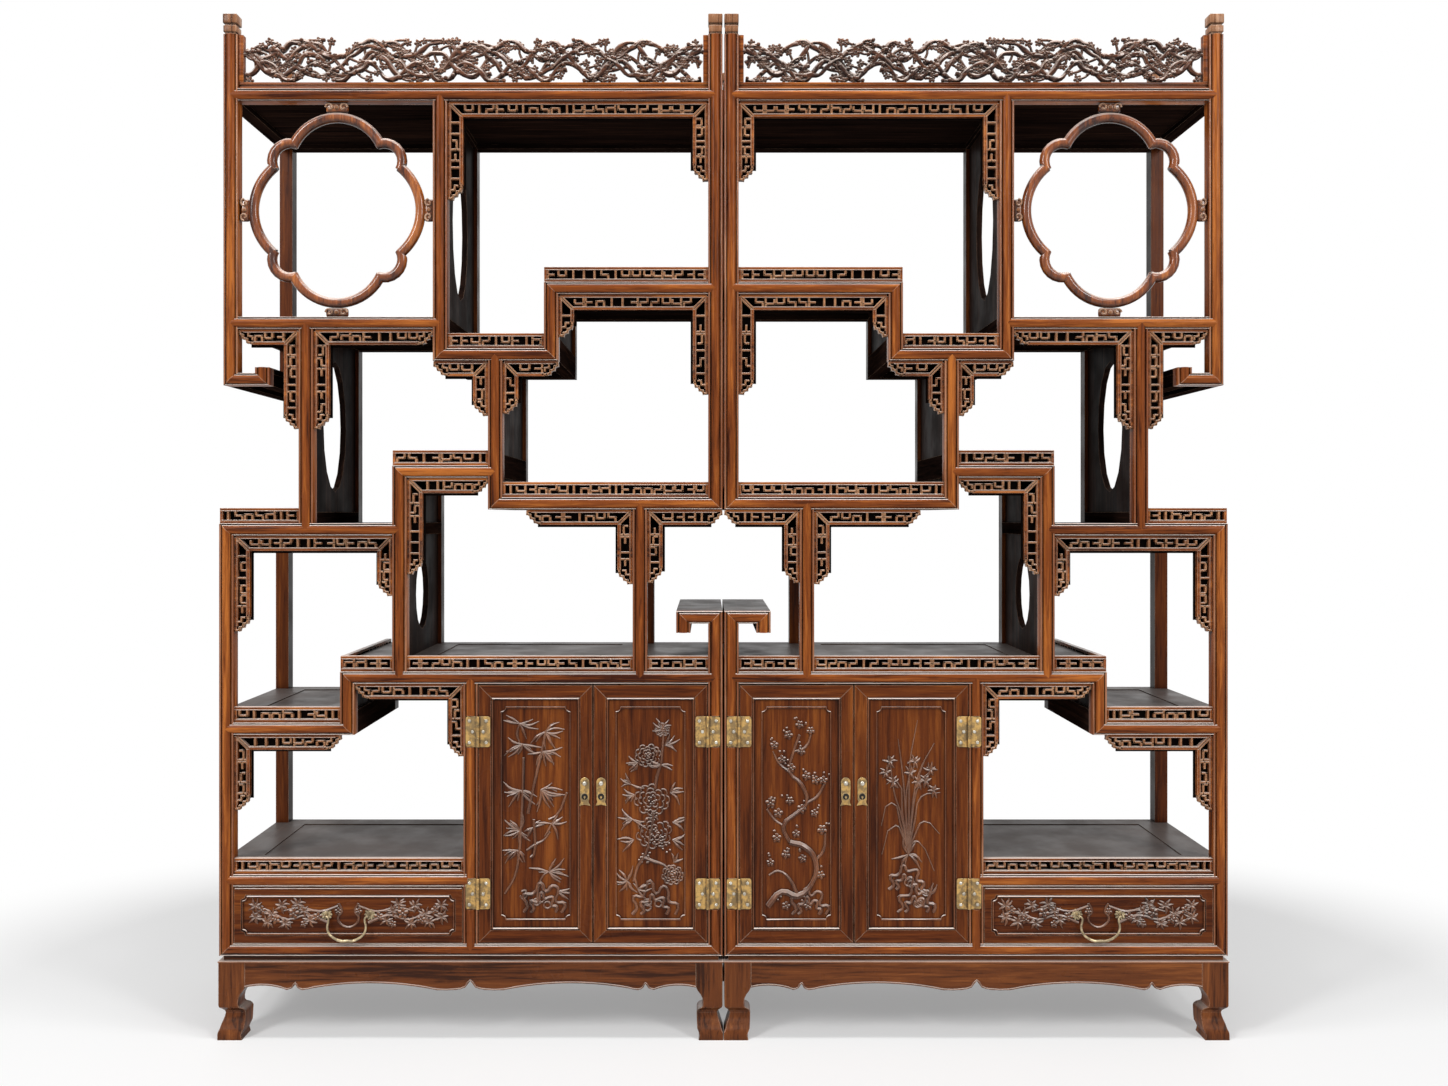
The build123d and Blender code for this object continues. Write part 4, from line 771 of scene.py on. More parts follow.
def backing(length, band, start, end):
    """Near-black boards behind a strip, painted shade seen through it, which show a little beyond its free
    edge.
    """
    lip = 0.0045 if start != "square" or end != "square" else 0.0
    boards = []
    for t0, t1, step in ((0.0, 0.34, 0.02), (0.34, 0.62, 0.22), (0.62, 0.86, 0.46), (0.86, 1.0, 0.72)):
        a, b = (step * band if kind == "lobed" else 0.0 for kind in (start, end))
        boards.append(((a, length - b), (t0 * band, t1 * band + (lip if t1 == 1.0 else 0.0))))
    return boards


def strip_place(origin, along, across):
    """Matrix that puts (along, deep, across) into place, deep always leading backwards."""
    deep = Vector((0, 1, 0)) if abs(along[1]) < 0.5 else Vector((-1, 0, 0))
    rows = [[along[i], deep[i], across[i], origin[i]] for i in range(3)]
    return Matrix(rows + [[0, 0, 0, 1]])


friezes = bmesh.new()
for low, high in solids("right_shelf_friezes"):
    size = high - low
    start, along, length, thickness = (high.x, (0, 1, 0), size.y, size.x)
    if size.x > 0.02:
        start, along, length, thickness = (low.x, (1, 0, 0), size.x, size.y)
    strip = fret_strip(length, size.z, "square", "square", thickness)
    pour(friezes, strip, strip_place((start, low.y, low.z), along, (0, 0, 1)))

aprons = bmesh.new()
strips = solids("right_fret_aprons")
for low, high in strips:
    size = high - low
    level = size.x > size.z
    mates = [
        (a, b) for a, b in strips
        if abs(b.z - high.z) < 0.002 and ((b - a).x > (b - a).z) != level
        and a.x < high.x + 0.001 and b.x > low.x - 0.001
    ]
    if level:
        ends = [
            "mitre" if any(abs(mate[i].x - corner) < 0.002 for mate in mates) else "lobed"
            for i, corner in enumerate((low.x, high.x))
        ]
        strip = fret_strip(size.x, size.z, *ends, size.y)
        pour(aprons, strip, strip_place((low.x, low.y, high.z), (1, 0, 0), (0, 0, -1)))
    else:
        near = any(abs(a.x - low.x) < 0.002 for a, _ in mates)
        strip = fret_strip(size.z, size.x, "mitre", "lobed", size.y)
        origin, across = (low.x, 1) if near else (high.x, -1)
        pour(aprons, strip, strip_place((origin, low.y, high.z), (0, 0, -1), (across, 0, 0)))
for name, shape in (("shelf_friezes", friezes), ("fret_aprons", aprons)):
    both(name, shape, FRET_FINISHES, "cabinets", [name], sharp=30)

# ---------------------------------------------------------------- crest and post heads
EAR_W, SILL_H = 0.0100, 0.0140
crest_low, crest_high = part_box("right_crest")
sill = (crest_low, Vector((crest_high.x, crest_high.y, crest_low.z + SILL_H)))
ear_low = Vector((crest_low.x, crest_low.y, crest_low.z + SILL_H))
ears = [
    (ear_low, Vector((crest_low.x + EAR_W, crest_high.y, crest_high.z))),
    (Vector((crest_high.x - EAR_W, ear_low.y, ear_low.z)), crest_high),
]
spray = (
    Vector((crest_low.x + EAR_W, ear_low.y, ear_low.z)),
    Vector((crest_high.x - EAR_W, crest_high.y, crest_high.z)),
)


def flower(target, spot, size, luck):
    """Five petals round a bud, facing the front."""
    start = luck.uniform(0, math.tau)
    for i in range(5):
        angle = start + i * math.tau / 5
        x, z = polar(spot[0], spot[2], angle, size * 0.55)
        lump(target, (x, spot[1], z), (size * 0.46, size * 0.30, size * 0.38), angle)
    lump(target, (spot[0], spot[1] - size * 0.22, spot[2]), [size * 0.2] * 3)


# Boughs of the crest: phase, swing and pitch of their winding and the height they wind about
BOUGHS = (
    (0.0, 0.26, 0.74, 0.38), (2.2, 0.32, 0.58, 0.52), (4.0, 0.20, 0.91, 0.24), (1.1, 0.30, 0.43, 0.44),
    (3.1, 0.17, 0.66, 0.70),
)


def plum_crest(low, high):
    """Knobbly plum boughs that wind along the crest with twigs, buds and flowers."""
    luck = random.Random(23)
    width, rise, y = high.x - low.x, high.z - low.z, (low.y + high.y) / 2
    floor, roof = low.z + 0.004, high.z - 0.009
    target, lines, flowers = bmesh.new(), [], []
    for phase, swing, pitch, middle in BOUGHS:
        bough, count = [], round(width / 0.0145)
        for i in range(count + 1):
            x = low.x + 0.004 + (width - 0.008) * i / count
            z = low.z + rise * (middle + swing * math.sin(i * pitch + phase)) + luck.uniform(-0.004, 0.004)
            z = clamp(z, floor, roof)
            bough.append((x, y + luck.uniform(-0.0025, 0.002), z, luck.uniform(0.0034, 0.0062)))
            if luck.random() < 0.80:
                way = luck.choice((-1, 1)) * luck.uniform(0.5, 1.3)
                lean, reach = luck.choice((-1, 1)), luck.uniform(0.010, 0.021)
                twig = [(x, y, z, 0.0036)]
                for j in (1, 2, 3):
                    turn = way * (1.0 - 0.28 * j)
                    x2 = twig[-1][0] + lean * math.cos(turn) * reach / 2
                    z2 = clamp(twig[-1][2] + math.sin(turn) * reach / 2, floor, roof)
                    x2 = clamp(x2, low.x + 0.004, high.x - 0.004)
                    twig.append((x2, y - 0.001 * j, z2, 0.0034 - 0.0004 * j))
                lines.append(twig)
                flowers.append(twig[-1])
        lines.append(bough)
    pour(target, strands(lines))
    for line in lines:
        for x, _, z, radius in line:
            if luck.random() < 0.35:
                knob = (x + luck.uniform(-0.004, 0.004), y - 0.003, z + luck.uniform(-0.004, 0.004))
                lump(target, knob, [radius * luck.uniform(0.7, 1.1) for _ in range(3)])
    for x, y_tip, z, _ in flowers:
        if luck.random() < 0.70:
            spot = (clamp(x, low.x + 0.010, high.x - 0.010), y - 0.002, min(z, high.z - 0.011))
            flower(target, spot, luck.uniform(0.0072, 0.0096), luck)
        else:
            lump(target, (x, y_tip - 0.001, min(z, high.z - 0.006)), (0.0044, 0.0042, 0.0044))
    step = 0.034
    for i in range(int(width / step)):
        x = low.x + step * (i + 0.5) + luck.uniform(-0.004, 0.004)
        spot = (x, y - 0.001, high.z - luck.uniform(0.0110, 0.034))
        flower(target, spot, luck.uniform(0.0080, 0.0100), luck)
        foot = (x + luck.uniform(-0.012, 0.012), y, luck.uniform(0.3, 0.6) * rise + low.z, 0.0030)
        bend = ((foot[0] + x) / 2 + 0.004, y, (foot[2] + spot[2]) / 2, 0.0027)
        pour(target, strands([[foot, bend, (*spot, 0.0022)]], smooth=2))
    return target


crest = plum_crest(*spray)
both("crest_branches", crest, [crest_wood], "cabinets", ["crest"], sharp=60)
trim = bmesh.new()
for low, high in ears:
    pour(trim, block(low, high, 0.0012, 2))
low, high = sill
for z0, z1, y0 in ((0, 0.0045, 0.0), (0.0045, 0.0090, 0.0030), (0.0090, 0.0140, 0.0008)):
    pour(trim, block((low.x, low.y + y0, low.z + z0), (high.x, high.y, low.z + z1), 0.0011, 2))
both("crest_sill", trim, [rosewood["level"]], "cabinets")

# Lumps on each face of a finial: across, up and size, first on its cap, then on its body
CAP_LUMPS = (
    (0, 0, 0.0042), (0.0064, 0.0042, 0.0028), (-0.0064, 0.0042, 0.0028), (0.0064, -0.0042, 0.0028),
    (-0.0064, -0.0042, 0.0028),
)
BODY_LUMPS = ((0, 0, 0.0036), (0.0068, 0, 0.0030), (-0.0068, 0, 0.0030))
heads = bmesh.new()
for low, high in solids("right_finials"):
    middle = (low + high) / 2
    cap_low = low.z + 0.0200
    for inset, z0, z1, radius in (
        (0.0034, low.z, low.z + 0.0035, 0.0006), (0.0010, low.z + 0.0030, low.z + 0.0165, 0.0014),
        (0.0038, low.z + 0.0160, cap_low + 0.0005, 0.0006), (0.0, cap_low, high.z, 0.0022),
    ):
        corners = (low.x + inset, low.y + inset, z0), (high.x - inset, high.y - inset, z1)
        pour(heads, block(*corners, radius, 2))
    for turn in range(4):
        round_face = Matrix.Rotation(turn * math.pi / 2, 4, "Z")
        for face_z, out, lumps in (
            ((cap_low + high.z) / 2, 0.0129, CAP_LUMPS), (low.z + 0.0098, 0.0119, BODY_LUMPS),
        ):
            face = Matrix.Translation((middle.x, middle.y, face_z)) @ round_face
            for x, z, size in lumps:
                pour(heads, petal((size, 0.0010, size * 0.8), face @ Matrix.Translation((x, -out, z))))
both("finials", heads, [scroll_wood], "cabinets", ["finials"], sharp=50)


# ---------------------------------------------------------------- carving in low relief
class Carving:
    """Strokes, leaves, flowers and rocks raised from a sunk ground that faces the front.

    Places are hundredths of the field's width and height. Sizes are millimetres, angles degrees.
    """

    def __init__(self, low, high, seed):
        self.low, self.high, self.ground = low, high, high.y
        self.luck = random.Random(seed)
        self.lines, self.shape = [], bmesh.new()

    def spot(self, x, z):
        width, rise = self.high.x - self.low.x, self.high.z - self.low.z
        return self.low.x + x / 100 * width, self.low.z + z / 100 * rise

    def stroke(self, points, start=1.8, stop=1.2, knobs=0):
        """A ridge along some points, its radius knobbly by a number of hundredths."""
        last = len(points) - 1
        line = []
        for i, (x, z) in enumerate(points):
            px, pz = self.spot(x, z)
            radius = 0.00155 * (start + (stop - start) * i / last)
            radius *= 1 + self.luck.uniform(-knobs, knobs) / 100
            line.append((px, self.ground - 0.0002, pz, radius))
        self.lines.append(line)

    def strokes(self, *several):
        for one in several:
            self.stroke(*one)

    def leaf(self, x, z, angle, length, width=5.2):
        """A narrow ridged leaf from its foot at (x, z)."""
        px, pz = self.spot(x, z)
        turn, reach = math.radians(angle), length / 1000
        bend = turn + self.luck.uniform(-0.3, 0.3)
        y = self.ground - 0.0004
        (x1, z1), (x2, z2) = polar(px, pz, turn, reach / 2), polar(px, pz, bend, reach)
        self.lines.append([(px, y, pz, 0.0011), (x1, y - 0.0003, z1, width / 2000), (x2, y, z2, 0.0008)])

    def spray(self, x, z, angles, length):
        for angle in angles:
            self.leaf(x, z, angle + self.luck.uniform(-8, 8), length * self.luck.uniform(0.95, 1.35))
            if self.luck.random() < 0.6:
                second = angle + self.luck.uniform(9, 20)
                self.leaf(x, z, second, length * self.luck.uniform(0.6, 0.95), 3.8)

    def sprays(self, *several):
        for one in several:
            self.spray(*one)

    def bloom(self, x, z, size):
        px, pz = self.spot(x, z)
        flower(self.shape, (px, self.ground - 0.0006, pz), size / 1000, self.luck)

    def peony(self, x, z, size):
        """Rows of cupped petals, each a small arched ridge, round a tight heart."""
        px, pz = self.spot(x, z)
        wide, y = size / 1000, self.ground - 0.0004
        for share, count, reach in ((1.0, 10, 0.30), (0.70, 8, 0.27), (0.42, 6, 0.22), (0.18, 3, 0.16)):
            for i in range(count):
                angle = math.tau * (i + 0.5 * self.luck.random()) / count
                x0, z0 = px + math.cos(angle) * wide * share, pz + math.sin(angle) * wide * share * 0.85
                arc = [polar(x0, z0, angle + turn, wide * reach) for turn in (-1.3, -0.5, 0.5, 1.3)]
                self.lines.append([(x1, y, z1, 0.0016) for x1, z1 in arc])
        self.dots(x, z, 9, size * 0.35)

    def dots(self, x, z, count, reach):
        px, pz = self.spot(x, z)
        for _ in range(count):
            angle = self.luck.uniform(0, math.tau)
            at_x, at_z = polar(px, pz, angle, reach / 1000 * math.sqrt(self.luck.random()))
            lump(self.shape, (at_x, self.ground - 0.0005, at_z), (0.0027, 0.0024, 0.0027))

    def rock(self, x, z, size, holes):
        """A pierced scholar's rock, drawn by its winding outlines."""
        turns = 11
        for scale in (1.0, 0.62):
            edge = []
            for i in range(turns + 1):
                a = math.pi * i / turns
                reach = size * scale * (1 + 0.22 * math.sin(i * 2.3) + self.luck.uniform(-0.08, 0.08))
                edge.append((x + math.cos(a) * reach, z + math.sin(a) * 0.42 * reach))
            self.stroke(edge, 2, 2, 20)
        for _ in range(holes):
            cx, cz = x + self.luck.uniform(-0.4, 0.4) * size, z + self.luck.uniform(0.05, 0.22) * size
            rim = [(cx + math.cos(a) * 6, cz + math.sin(a) * 1.6) for a in (0.0, 1.6, 3.1, 4.7, 6.0)]
            self.stroke(rim, 1.2, 1.2)

    def finish(self, name, body):
        pour(self.shape, strands(self.lines))
        under = [v for v in self.shape.verts if v.co.y > self.ground]
        bmesh.ops.translate(self.shape, vec=(0, 0.0001, 0), verts=under)
        piece(name, self.shape, [carved_wood], body, sharp=55)
        self.shape.free()


def bamboo(field):
    """Bamboo culms with drooping leaf sprays over a rock."""
    art = Carving(*field, 31)
    art.strokes(
        ([(31, 77), (30, 62), (27, 42), (24, 30), (17, 19), (2, 11)], 1.7, 1.4, 15),
        ([(66, 90), (56, 76), (46, 62), (38, 50)], 1.5, 1.9, 15),
        ([(47, 47), (47, 30), (42, 28.5)], 1.9, 1.6, 15),
        ([(98, 60), (82, 49), (70, 47)], 1.5, 1.3),
        ([(72, 41), (62, 37), (50, 35), (36, 32)], 1.6, 1.4, 30),
    )
    art.sprays(
        (25, 93.5, (178, 150, -5, -20, -60, -110), 30), (64, 89.5, (40, 20, -5, -30, -60, -90, -150), 32),
        (29, 83.5, (175, 200, 220, 240, -10, -40), 31), (62, 80, (10, -10, -35, -60, -90, -125, -160), 30),
        (26, 61, (170, 190, 215, 235, -20, -50), 30), (58, 61.5, (5, -12, -30, -50, -70, -100), 36),
        (25, 41.5, (150, 120, 60, 190, 215, -90, -60), 28), (46, 43, (60, 20, 200, -120), 20),
        (74, 45, (170, 0, 30, -60, -120), 26), (21, 32, (175, 195, 220, -70, -40), 27),
        (70, 21.5, (60, 35, 10, -10, -30, -50, 170), 30), (83, 12, (10, -15, -35), 24),
    )
    art.rock(62, 2, 30, 3)
    art.strokes(
        ([(52, 6), (55, 15), (62, 20), (70, 21.5)], 1.6, 1.3, 20),
        ([(26, 10), (30, 8.5), (36, 10), (33, 12.5), (28, 12)], 1.4, 1.2),
    )
    return art


def peonies(field):
    """Peonies, leaves and berries that climb from a pierced rock."""
    art = Carving(*field, 32)
    art.strokes(
        ([(70, 88), (68, 80), (66, 74), (60, 68), (57, 62)], 1.5, 1.8, 20),
        ([(55, 50), (50, 40), (42, 30), (30, 24), (24, 17)], 1.8, 1.5, 20),
        ([(40, 28.5), (56, 26.5), (70, 25), (80, 22)], 1.8, 1.5, 30),
    )
    for x, z, size in ((46, 78, 19.5), (52, 56.5, 26.5), (55, 40.5, 27), (84, 20, 16.5), (68, 90.5, 11)):
        art.peony(x, z, size)
    art.sprays(
        (68, 91, (120, 150, 60, 30, 200), 18), (30, 74.5, (160, 190, 220, 250), 22),
        (72, 83, (60, 30, 5, -20), 24),
        (66, 73.5, (10, -15, -160, 170), 24), (20, 64, (160, 120, -20), 22), (25, 59, (190, 220, 160), 24),
        (80, 60, (60, 30, 0, -40), 24), (22, 47, (150, 180, 210, -30), 26), (84, 45.5, (20, 0, -30), 26),
        (84, 37, (10, -20, -50), 24), (24, 37, (200, 230, 170), 24),
        (14, 17, (150, 110, 60, 190, -60, -110), 24), (30, 13, (20, -20, -60, 100), 22),
        (86, 26, (60, 20, 100), 18),
    )
    for x, z, count in ((52, 49, 9), (64, 37, 12), (42, 28.5, 10), (72, 34, 8)):
        art.dots(x, z, count, 14)
    art.rock(55, 1, 32, 4)
    return art


def plum_tree(field):
    """A gnarled plum trunk with side boughs and small flowers."""
    art = Carving(*field, 33)
    for points, start, stop in (
        ([(6, 5), (28, 12), (52, 10), (74, 16), (80, 27), (62, 34), (40, 36)], 3.6, 2.8),
        ([(40, 36), (30, 44), (50, 50), (66, 55), (58, 64), (40, 70), (46, 80), (55, 88)], 2.6, 1.4),
        ([(52, 10), (40, 18), (22, 22), (8, 20)], 2.2, 1.2),
        ([(30, 44), (16, 47), (5, 52)], 1.8, 1), ([(66, 55), (82, 58), (93, 64)], 1.8, 1),
        ([(40, 70), (24, 74), (14, 80)], 1.6, 1), ([(46, 80), (64, 82), (74, 90)], 1.6, 1),
        ([(80, 27), (92, 32), (95, 40)], 1.8, 1),
    ):
        art.stroke(points, start, stop, 30)
    for x, z in (
        (55, 93), (38, 88), (72, 90), (16, 83), (28, 76), (58, 80), (42, 72), (66, 68), (80, 66),
        (92, 66), (10, 55), (22, 50), (40, 56), (58, 52), (78, 50), (90, 42), (50, 40), (20, 38),
        (34, 30), (60, 28), (10, 26), (88, 20), (34, 5), (68, 5),
    ):
        art.bloom(x, z, art.luck.uniform(8.6, 11))
        art.dots(x + art.luck.uniform(-9, 9), z + 3, 2, 6)
    art.rock(70, 1, 26, 1)
    return art


def orchid(field):
    """Long arching orchid leaves with flower stalks over a rock."""
    art = Carving(*field, 34)
    foot = (46, 30)
    for mid, tip in (
        ((20, 55), (4, 44)), ((26, 66), (12, 64)), ((36, 72), (30, 86)), ((48, 74), (60, 95)),
        ((60, 68), (86, 84)), ((66, 58), (95, 60)), ((70, 46), (94, 40)), ((56, 62), (74, 78)),
        ((26, 44), (5, 30)), ((62, 36), (86, 22)),
    ):
        art.stroke([foot, ((foot[0] + mid[0]) / 2, (foot[1] + mid[1]) / 2 + 3), mid, tip], 1.7, 0.5)
    for points in (
        [foot, (42, 52), (46, 66), (56, 74)], [foot, (52, 50), (66, 66), (80, 70)],
        [foot, (34, 50), (24, 60), (18, 74)],
    ):
        art.stroke(points, 1.2, 0.9)
        x, z = points[-1]
        for dx, dz in ((0, 1), (-7, -4.5), (5, -9)):
            art.spray(x + dx, z + dz, (20, 70, 120, 170, -110, -60), 12)
    art.spray(46, 30, (60, 90, 120, 200, 225, -20, -45), 30)
    art.rock(42, 13, 24, 2)
    art.rock(58, 2, 26, 3)
    art.spray(78, 10, (160, 120, 80, 40), 20)
    return art


def flower_spray(field, seed):
    """Long stems of flowers and leaves that lie to each side of a drawer's pull."""
    art = Carving(*field, seed)
    for way in (-1, 1):
        for stem, start, stop in (
            (((10, 25), (20, 50), (30, 35), (40, 60), (48, 50)), 1.9, 1.1),
            (((5, 80), (14, 62), (24, 75), (33, 62)), 1.5, 1),
        ):
            art.stroke([(50 + way * s, z) for s, z in stem], start, stop, 25)
        for s, z, size in ((15, 45, 9.8), (27, 56, 12), (36, 36, 10), (43, 66, 9.2), (22, 20, 8), (5, 62, 8)):
            art.bloom(50 + way * s, z, size)
        for s, z in (
            (19, 33), (31, 22), (33, 80), (40, 26), (46, 42), (46, 80), (25, 86), (38, 52), (22, 62),
        ):
            art.spray(50 + way * s, z, (20, 60, 120, 160, -30, -80, -150), 12.5)
    vase = ((5, 88), (3.2, 62), (5.2, 42), (2.4, 14))
    art.stroke([(50 - s, z) for s, z in vase] + [(50 + s, z) for s, z in vase[::-1]], 1.4, 1.4, 10)
    return art


# ---------------------------------------------------------------- doors and drawers
PANEL_SINK, FIELD_SINK, FIELD_MARGIN, NOTCH = 0.004, 0.002, 0.044, 0.009
DRAWER_MARGIN, FIELD_BEAD_R = 0.0170, 0.0013


def frame_outline():
    """Section of a door's frame: plain outside, a raised bead and cove along the panel."""
    points = [
        (0, 0.0200), (0, 0.0008), (0.0008, 0), (0.0244, 0), (0.0252, 0.0016), (0.0260, 0.0004),
        (0.0270, -0.0006), (0.0280, 0.0000), (0.0288, 0.0018), (0.0300, 0.0036), (0.0300, 0.0200),
    ]
    return [(across, FACE + deep) for across, deep in points]


MITRE_GAP = 0.0003


def door_frame(low, high):
    """Two stiles and two rails, mitred at the corners."""
    target = bmesh.new()
    x, z = centre(low, high)
    spans = (high.z - low.z) / 2, (high.x - low.x) / 2
    for upright, sign in ((True, 1), (True, -1), (False, 1), (False, -1)):
        half, reach = spans if upright else spans[::-1]
        shape = prism(frame_outline(), -half, half)
        for face in shape.faces:
            across = face.calc_center_median().x
            # The frame's bead takes the bead finish with its painted top highlight; its cove by the panel
            # takes painted shade
            if 0.0254 < across < 0.0286 and abs(face.normal.z) < 0.5:
                face.material_index = 2
            elif 0.0286 <= across < 0.0299 and abs(face.normal.z) < 0.5:
                face.material_index = 3
            elif not upright:
                face.material_index = 1
        for out in (1, -1):
            cut(shape, (0, 0, out * (half - MITRE_GAP)), (1, 0, out))
        turn = Matrix.Identity(4) if upright else SWAP
        side = Matrix.Diagonal((sign, 1, 1, 1)) @ Matrix.Translation((-reach, 0, 0))
        pour(target, shape, Matrix.Translation((x, 0, z)) @ turn @ side)
    return target


def field_bead(low, high, y):
    """A raised bead round a carved field, drawn in at its corners by small notches."""
    across, up = (low.x + NOTCH, high.x - NOTCH), (low.z + NOTCH, high.z - NOTCH)
    lines = [[(x, y, z, FIELD_BEAD_R * 1.4) for x in across] for z in (low.z, high.z)]
    lines += [[(x, y, z, FIELD_BEAD_R * 0.8) for z in up] for x in (low.x, high.x)]
    for x, sx in ((low.x, NOTCH), (high.x, -NOTCH)):
        for z, sz in ((low.z, NOTCH), (high.z, -NOTCH)):
            lines.append([
                (x + sx * a, y, z + sz * b, FIELD_BEAD_R)
                for a, b in ((0, 1), (0.5, 0.86), (0.86, 0.5), (1, 0))
            ])
    return strands(lines)


def relief(name, body, box, margin, inset, bead_y, ground, motif, *seed):
    """A beaded field within a box and the carving on its sunk ground."""
    edge = Vector((margin, 0, margin))
    low, high = box[0] + edge, box[1] - edge
    bead = field_bead(low, high, bead_y)
    piece(f"{name}_bead", bead, [panel_bead], body, sharp=60)
    shy = Vector((inset[0], 0, inset[1]))
    field = Vector((low.x, 0, low.z)) + shy, Vector((high.x, ground, high.z)) - shy
    return motif(field, *seed)


MOTIFS = {
    ("left", "outer"): bamboo, ("left", "inner"): peonies,
    ("right", "inner"): plum_tree, ("right", "outer"): orchid,
}
for (side, which), motif in MOTIFS.items():
    body = f"{side}_{which}_door"
    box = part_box(f"{body}_frame")
    piece(
        f"{body}_frame_moulding", door_frame(*box), [*door_wood.values(), panel_bead, cove_shade],
        body, [f"{body}_frame"], sharp=40,
    )
    sunk = FACE + PANEL_SINK
    art = relief(
        f"{body}_field", body, box, FIELD_MARGIN, (0.004, 0.006), sunk - 0.0004, sunk + FIELD_SINK, motif
    )
    art.finish(f"{body}_carving", body)

for side, seed in (("right", 41), ("left", 42)):
    body = f"{side}_drawer"
    box = low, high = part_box(f"{side}_drawer_front")
    art = relief(
        body, body, box, DRAWER_MARGIN, (0.009, 0.007), FACE - 0.0003, FACE + FIELD_SINK, flower_spray, seed
    )
    # A thin bead along the drawer's top edge: a painted highlight line from the bead finish's top light
    z = high.z - 0.0018
    line = [(x, FACE + 0.0002, z, 0.0012) for x in (low.x + 0.002, high.x - 0.002)]
    piece(f"{body}_rim", strands([line]), [panel_bead], body, sharp=60)
    art.finish(f"{body}_carving", body)


# ---------------------------------------------------------------- brass fittings
KNUCKLE_R, LEAF_T, LOCK_T = 0.0035, 0.0018, 0.0015


def hinge_half(pivot, edge, low_z, high_z, spans):
    """A cast plate with rounded corners, three pins and its knuckles."""
    target = bmesh.new()
    away = 1 if edge > pivot else -1
    near, front = pivot + away * 0.0012, FACE - LEAF_T
    plate = block((min(near, edge), front, low_z), (max(near, edge), FACE, high_z))
    corners = [e for e in edges_at(plate, 0, edge) if abs(e.verts[0].co.z - e.verts[1].co.z) < 1e-6]
    soften(plate, corners, 0.0050, 4)
    soften(plate, edges_at(plate, 1, front), 0.0005, 2)
    pour(target, plate)
    middle = (edge + pivot + away * KNUCKLE_R) / 2
    for z, shift in ((low_z + 0.009, 0.0025), ((low_z + high_z) / 2, -0.0035), (high_z - 0.009, 0.0025)):
        pin = drum((middle + away * shift, z), 0.0034, front, FACE - 0.0040, 14, 0.0016)
        pour(target, pin, finish=1)
    for start, stop in spans:
        barrel = bmesh.new()
        radius = KNUCKLE_R * 0.98
        bmesh.ops.create_cone(
            barrel, cap_ends=True, segments=16, radius1=radius, radius2=radius, depth=stop - start,
            matrix=Matrix.Translation((pivot, FACE - KNUCKLE_R, (start + stop) / 2)),
        )
        rims = [e for e in barrel.edges if abs(e.verts[0].co.z - e.verts[1].co.z) < 1e-6]
        soften(barrel, rims, 0.0006)
        pour(target, barrel)
    return target


def far_edge(low, high, pivot):
    return high.x if high.x - pivot > pivot - low.x else low.x


MIDDLE_KNUCKLE, END_KNUCKLES = 0.0118, 0.0122
post_halves = bmesh.new()
for which in ("inner", "outer"):
    door_halves = bmesh.new()
    for low, high in solids(f"right_{which}_door_hinges"):
        mate_low, mate_high = next(
            (a, b) for a, b in leaves if abs(a.z - low.z) < 0.001 and a.x < high.x and b.x > low.x
        )
        pivot = (max(low.x, mate_low.x) + min(high.x, mate_high.x)) / 2
        z = (low.z + high.z) / 2
        for halves, edge, spans in (
            (door_halves, far_edge(low, high, pivot), [(z - MIDDLE_KNUCKLE, z + MIDDLE_KNUCKLE)]),
            (
                post_halves, far_edge(mate_low, mate_high, pivot),
                [(low.z, z - END_KNUCKLES), (z + END_KNUCKLES, high.z)],
            ),
        ):
            pour(halves, hinge_half(pivot, edge, low.z, high.z, spans))
    both(
        f"{which}_door_hinge_leaves", door_halves, [brass, silver_stud], f"{which}_door",
        [f"{which}_door_hinges"],
    )
both("post_hinge_leaves", post_halves, [brass, silver_stud], "cabinets", ["hinge_post_leaves"])


def lock_case(middle, z, width, height):
    """An arched lock plate with a flared foot, a stud above and a key cylinder below."""
    half, tall = width / 2, height / 2
    arch = half * 0.84
    right = [(half * 0.98, -tall), (half * 0.86, -tall + 0.0030), (half * 0.66, -tall + 0.0075)]
    right += [(half * 0.80, -tall + 0.0130), (arch, tall - arch)]
    for step in range(1, 6):
        right.append(polar(0, tall - arch, step * math.pi / 12, arch))
    outline = right + [(0, tall)] + [(-x, y) for x, y in right[::-1]] + [(0, -tall + 0.0022)]
    sheet = prism(outline, 0, LOCK_T)
    soften(sheet, edges_at(sheet, 2, LOCK_T), 0.0004)
    plate = bmesh.new()
    pour(plate, sheet, Matrix(((1, 0, 0, middle), (0, 0, -1, FACE), (0, 1, 0, z), (0, 0, 0, 1))), 0)
    key_z = z - tall * 0.34
    for at, radius, back, front, sides, dome, finish in (
        (z + tall * 0.6, 0.0048, LOCK_T, 0.0065, 14, 0.0032, 1),
        (key_z, 0.0078, LOCK_T, 0.0023, 18, 0.0004, 0),
        (key_z, 0.0064, 0.0023, 0.0030, 18, 0.0003, 2),
        (key_z - 0.001, 0.0020, 0.0030, 0.0036, 10, 0.0003, 0),
    ):
        pour(plate, drum((middle, at), radius, FACE - back, FACE - front, sides, dome), finish=finish)
    slot_low = (middle - 0.0006, FACE - 0.0040, key_z - 0.005)
    pour(plate, block(slot_low, (middle + 0.0006, FACE - 0.0034, key_z - 0.001), 0.0002), finish=0)
    return plate


for which in ("inner", "outer"):
    low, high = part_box(f"right_{which}_door_lock")
    case = lock_case(*centre(low, high), high.x - low.x, high.z - low.z)
    finishes = [brass, silver_stud, dark_iron]
    both(f"{which}_lock_case", case, finishes, f"{which}_door", [f"{which}_door_lock"])

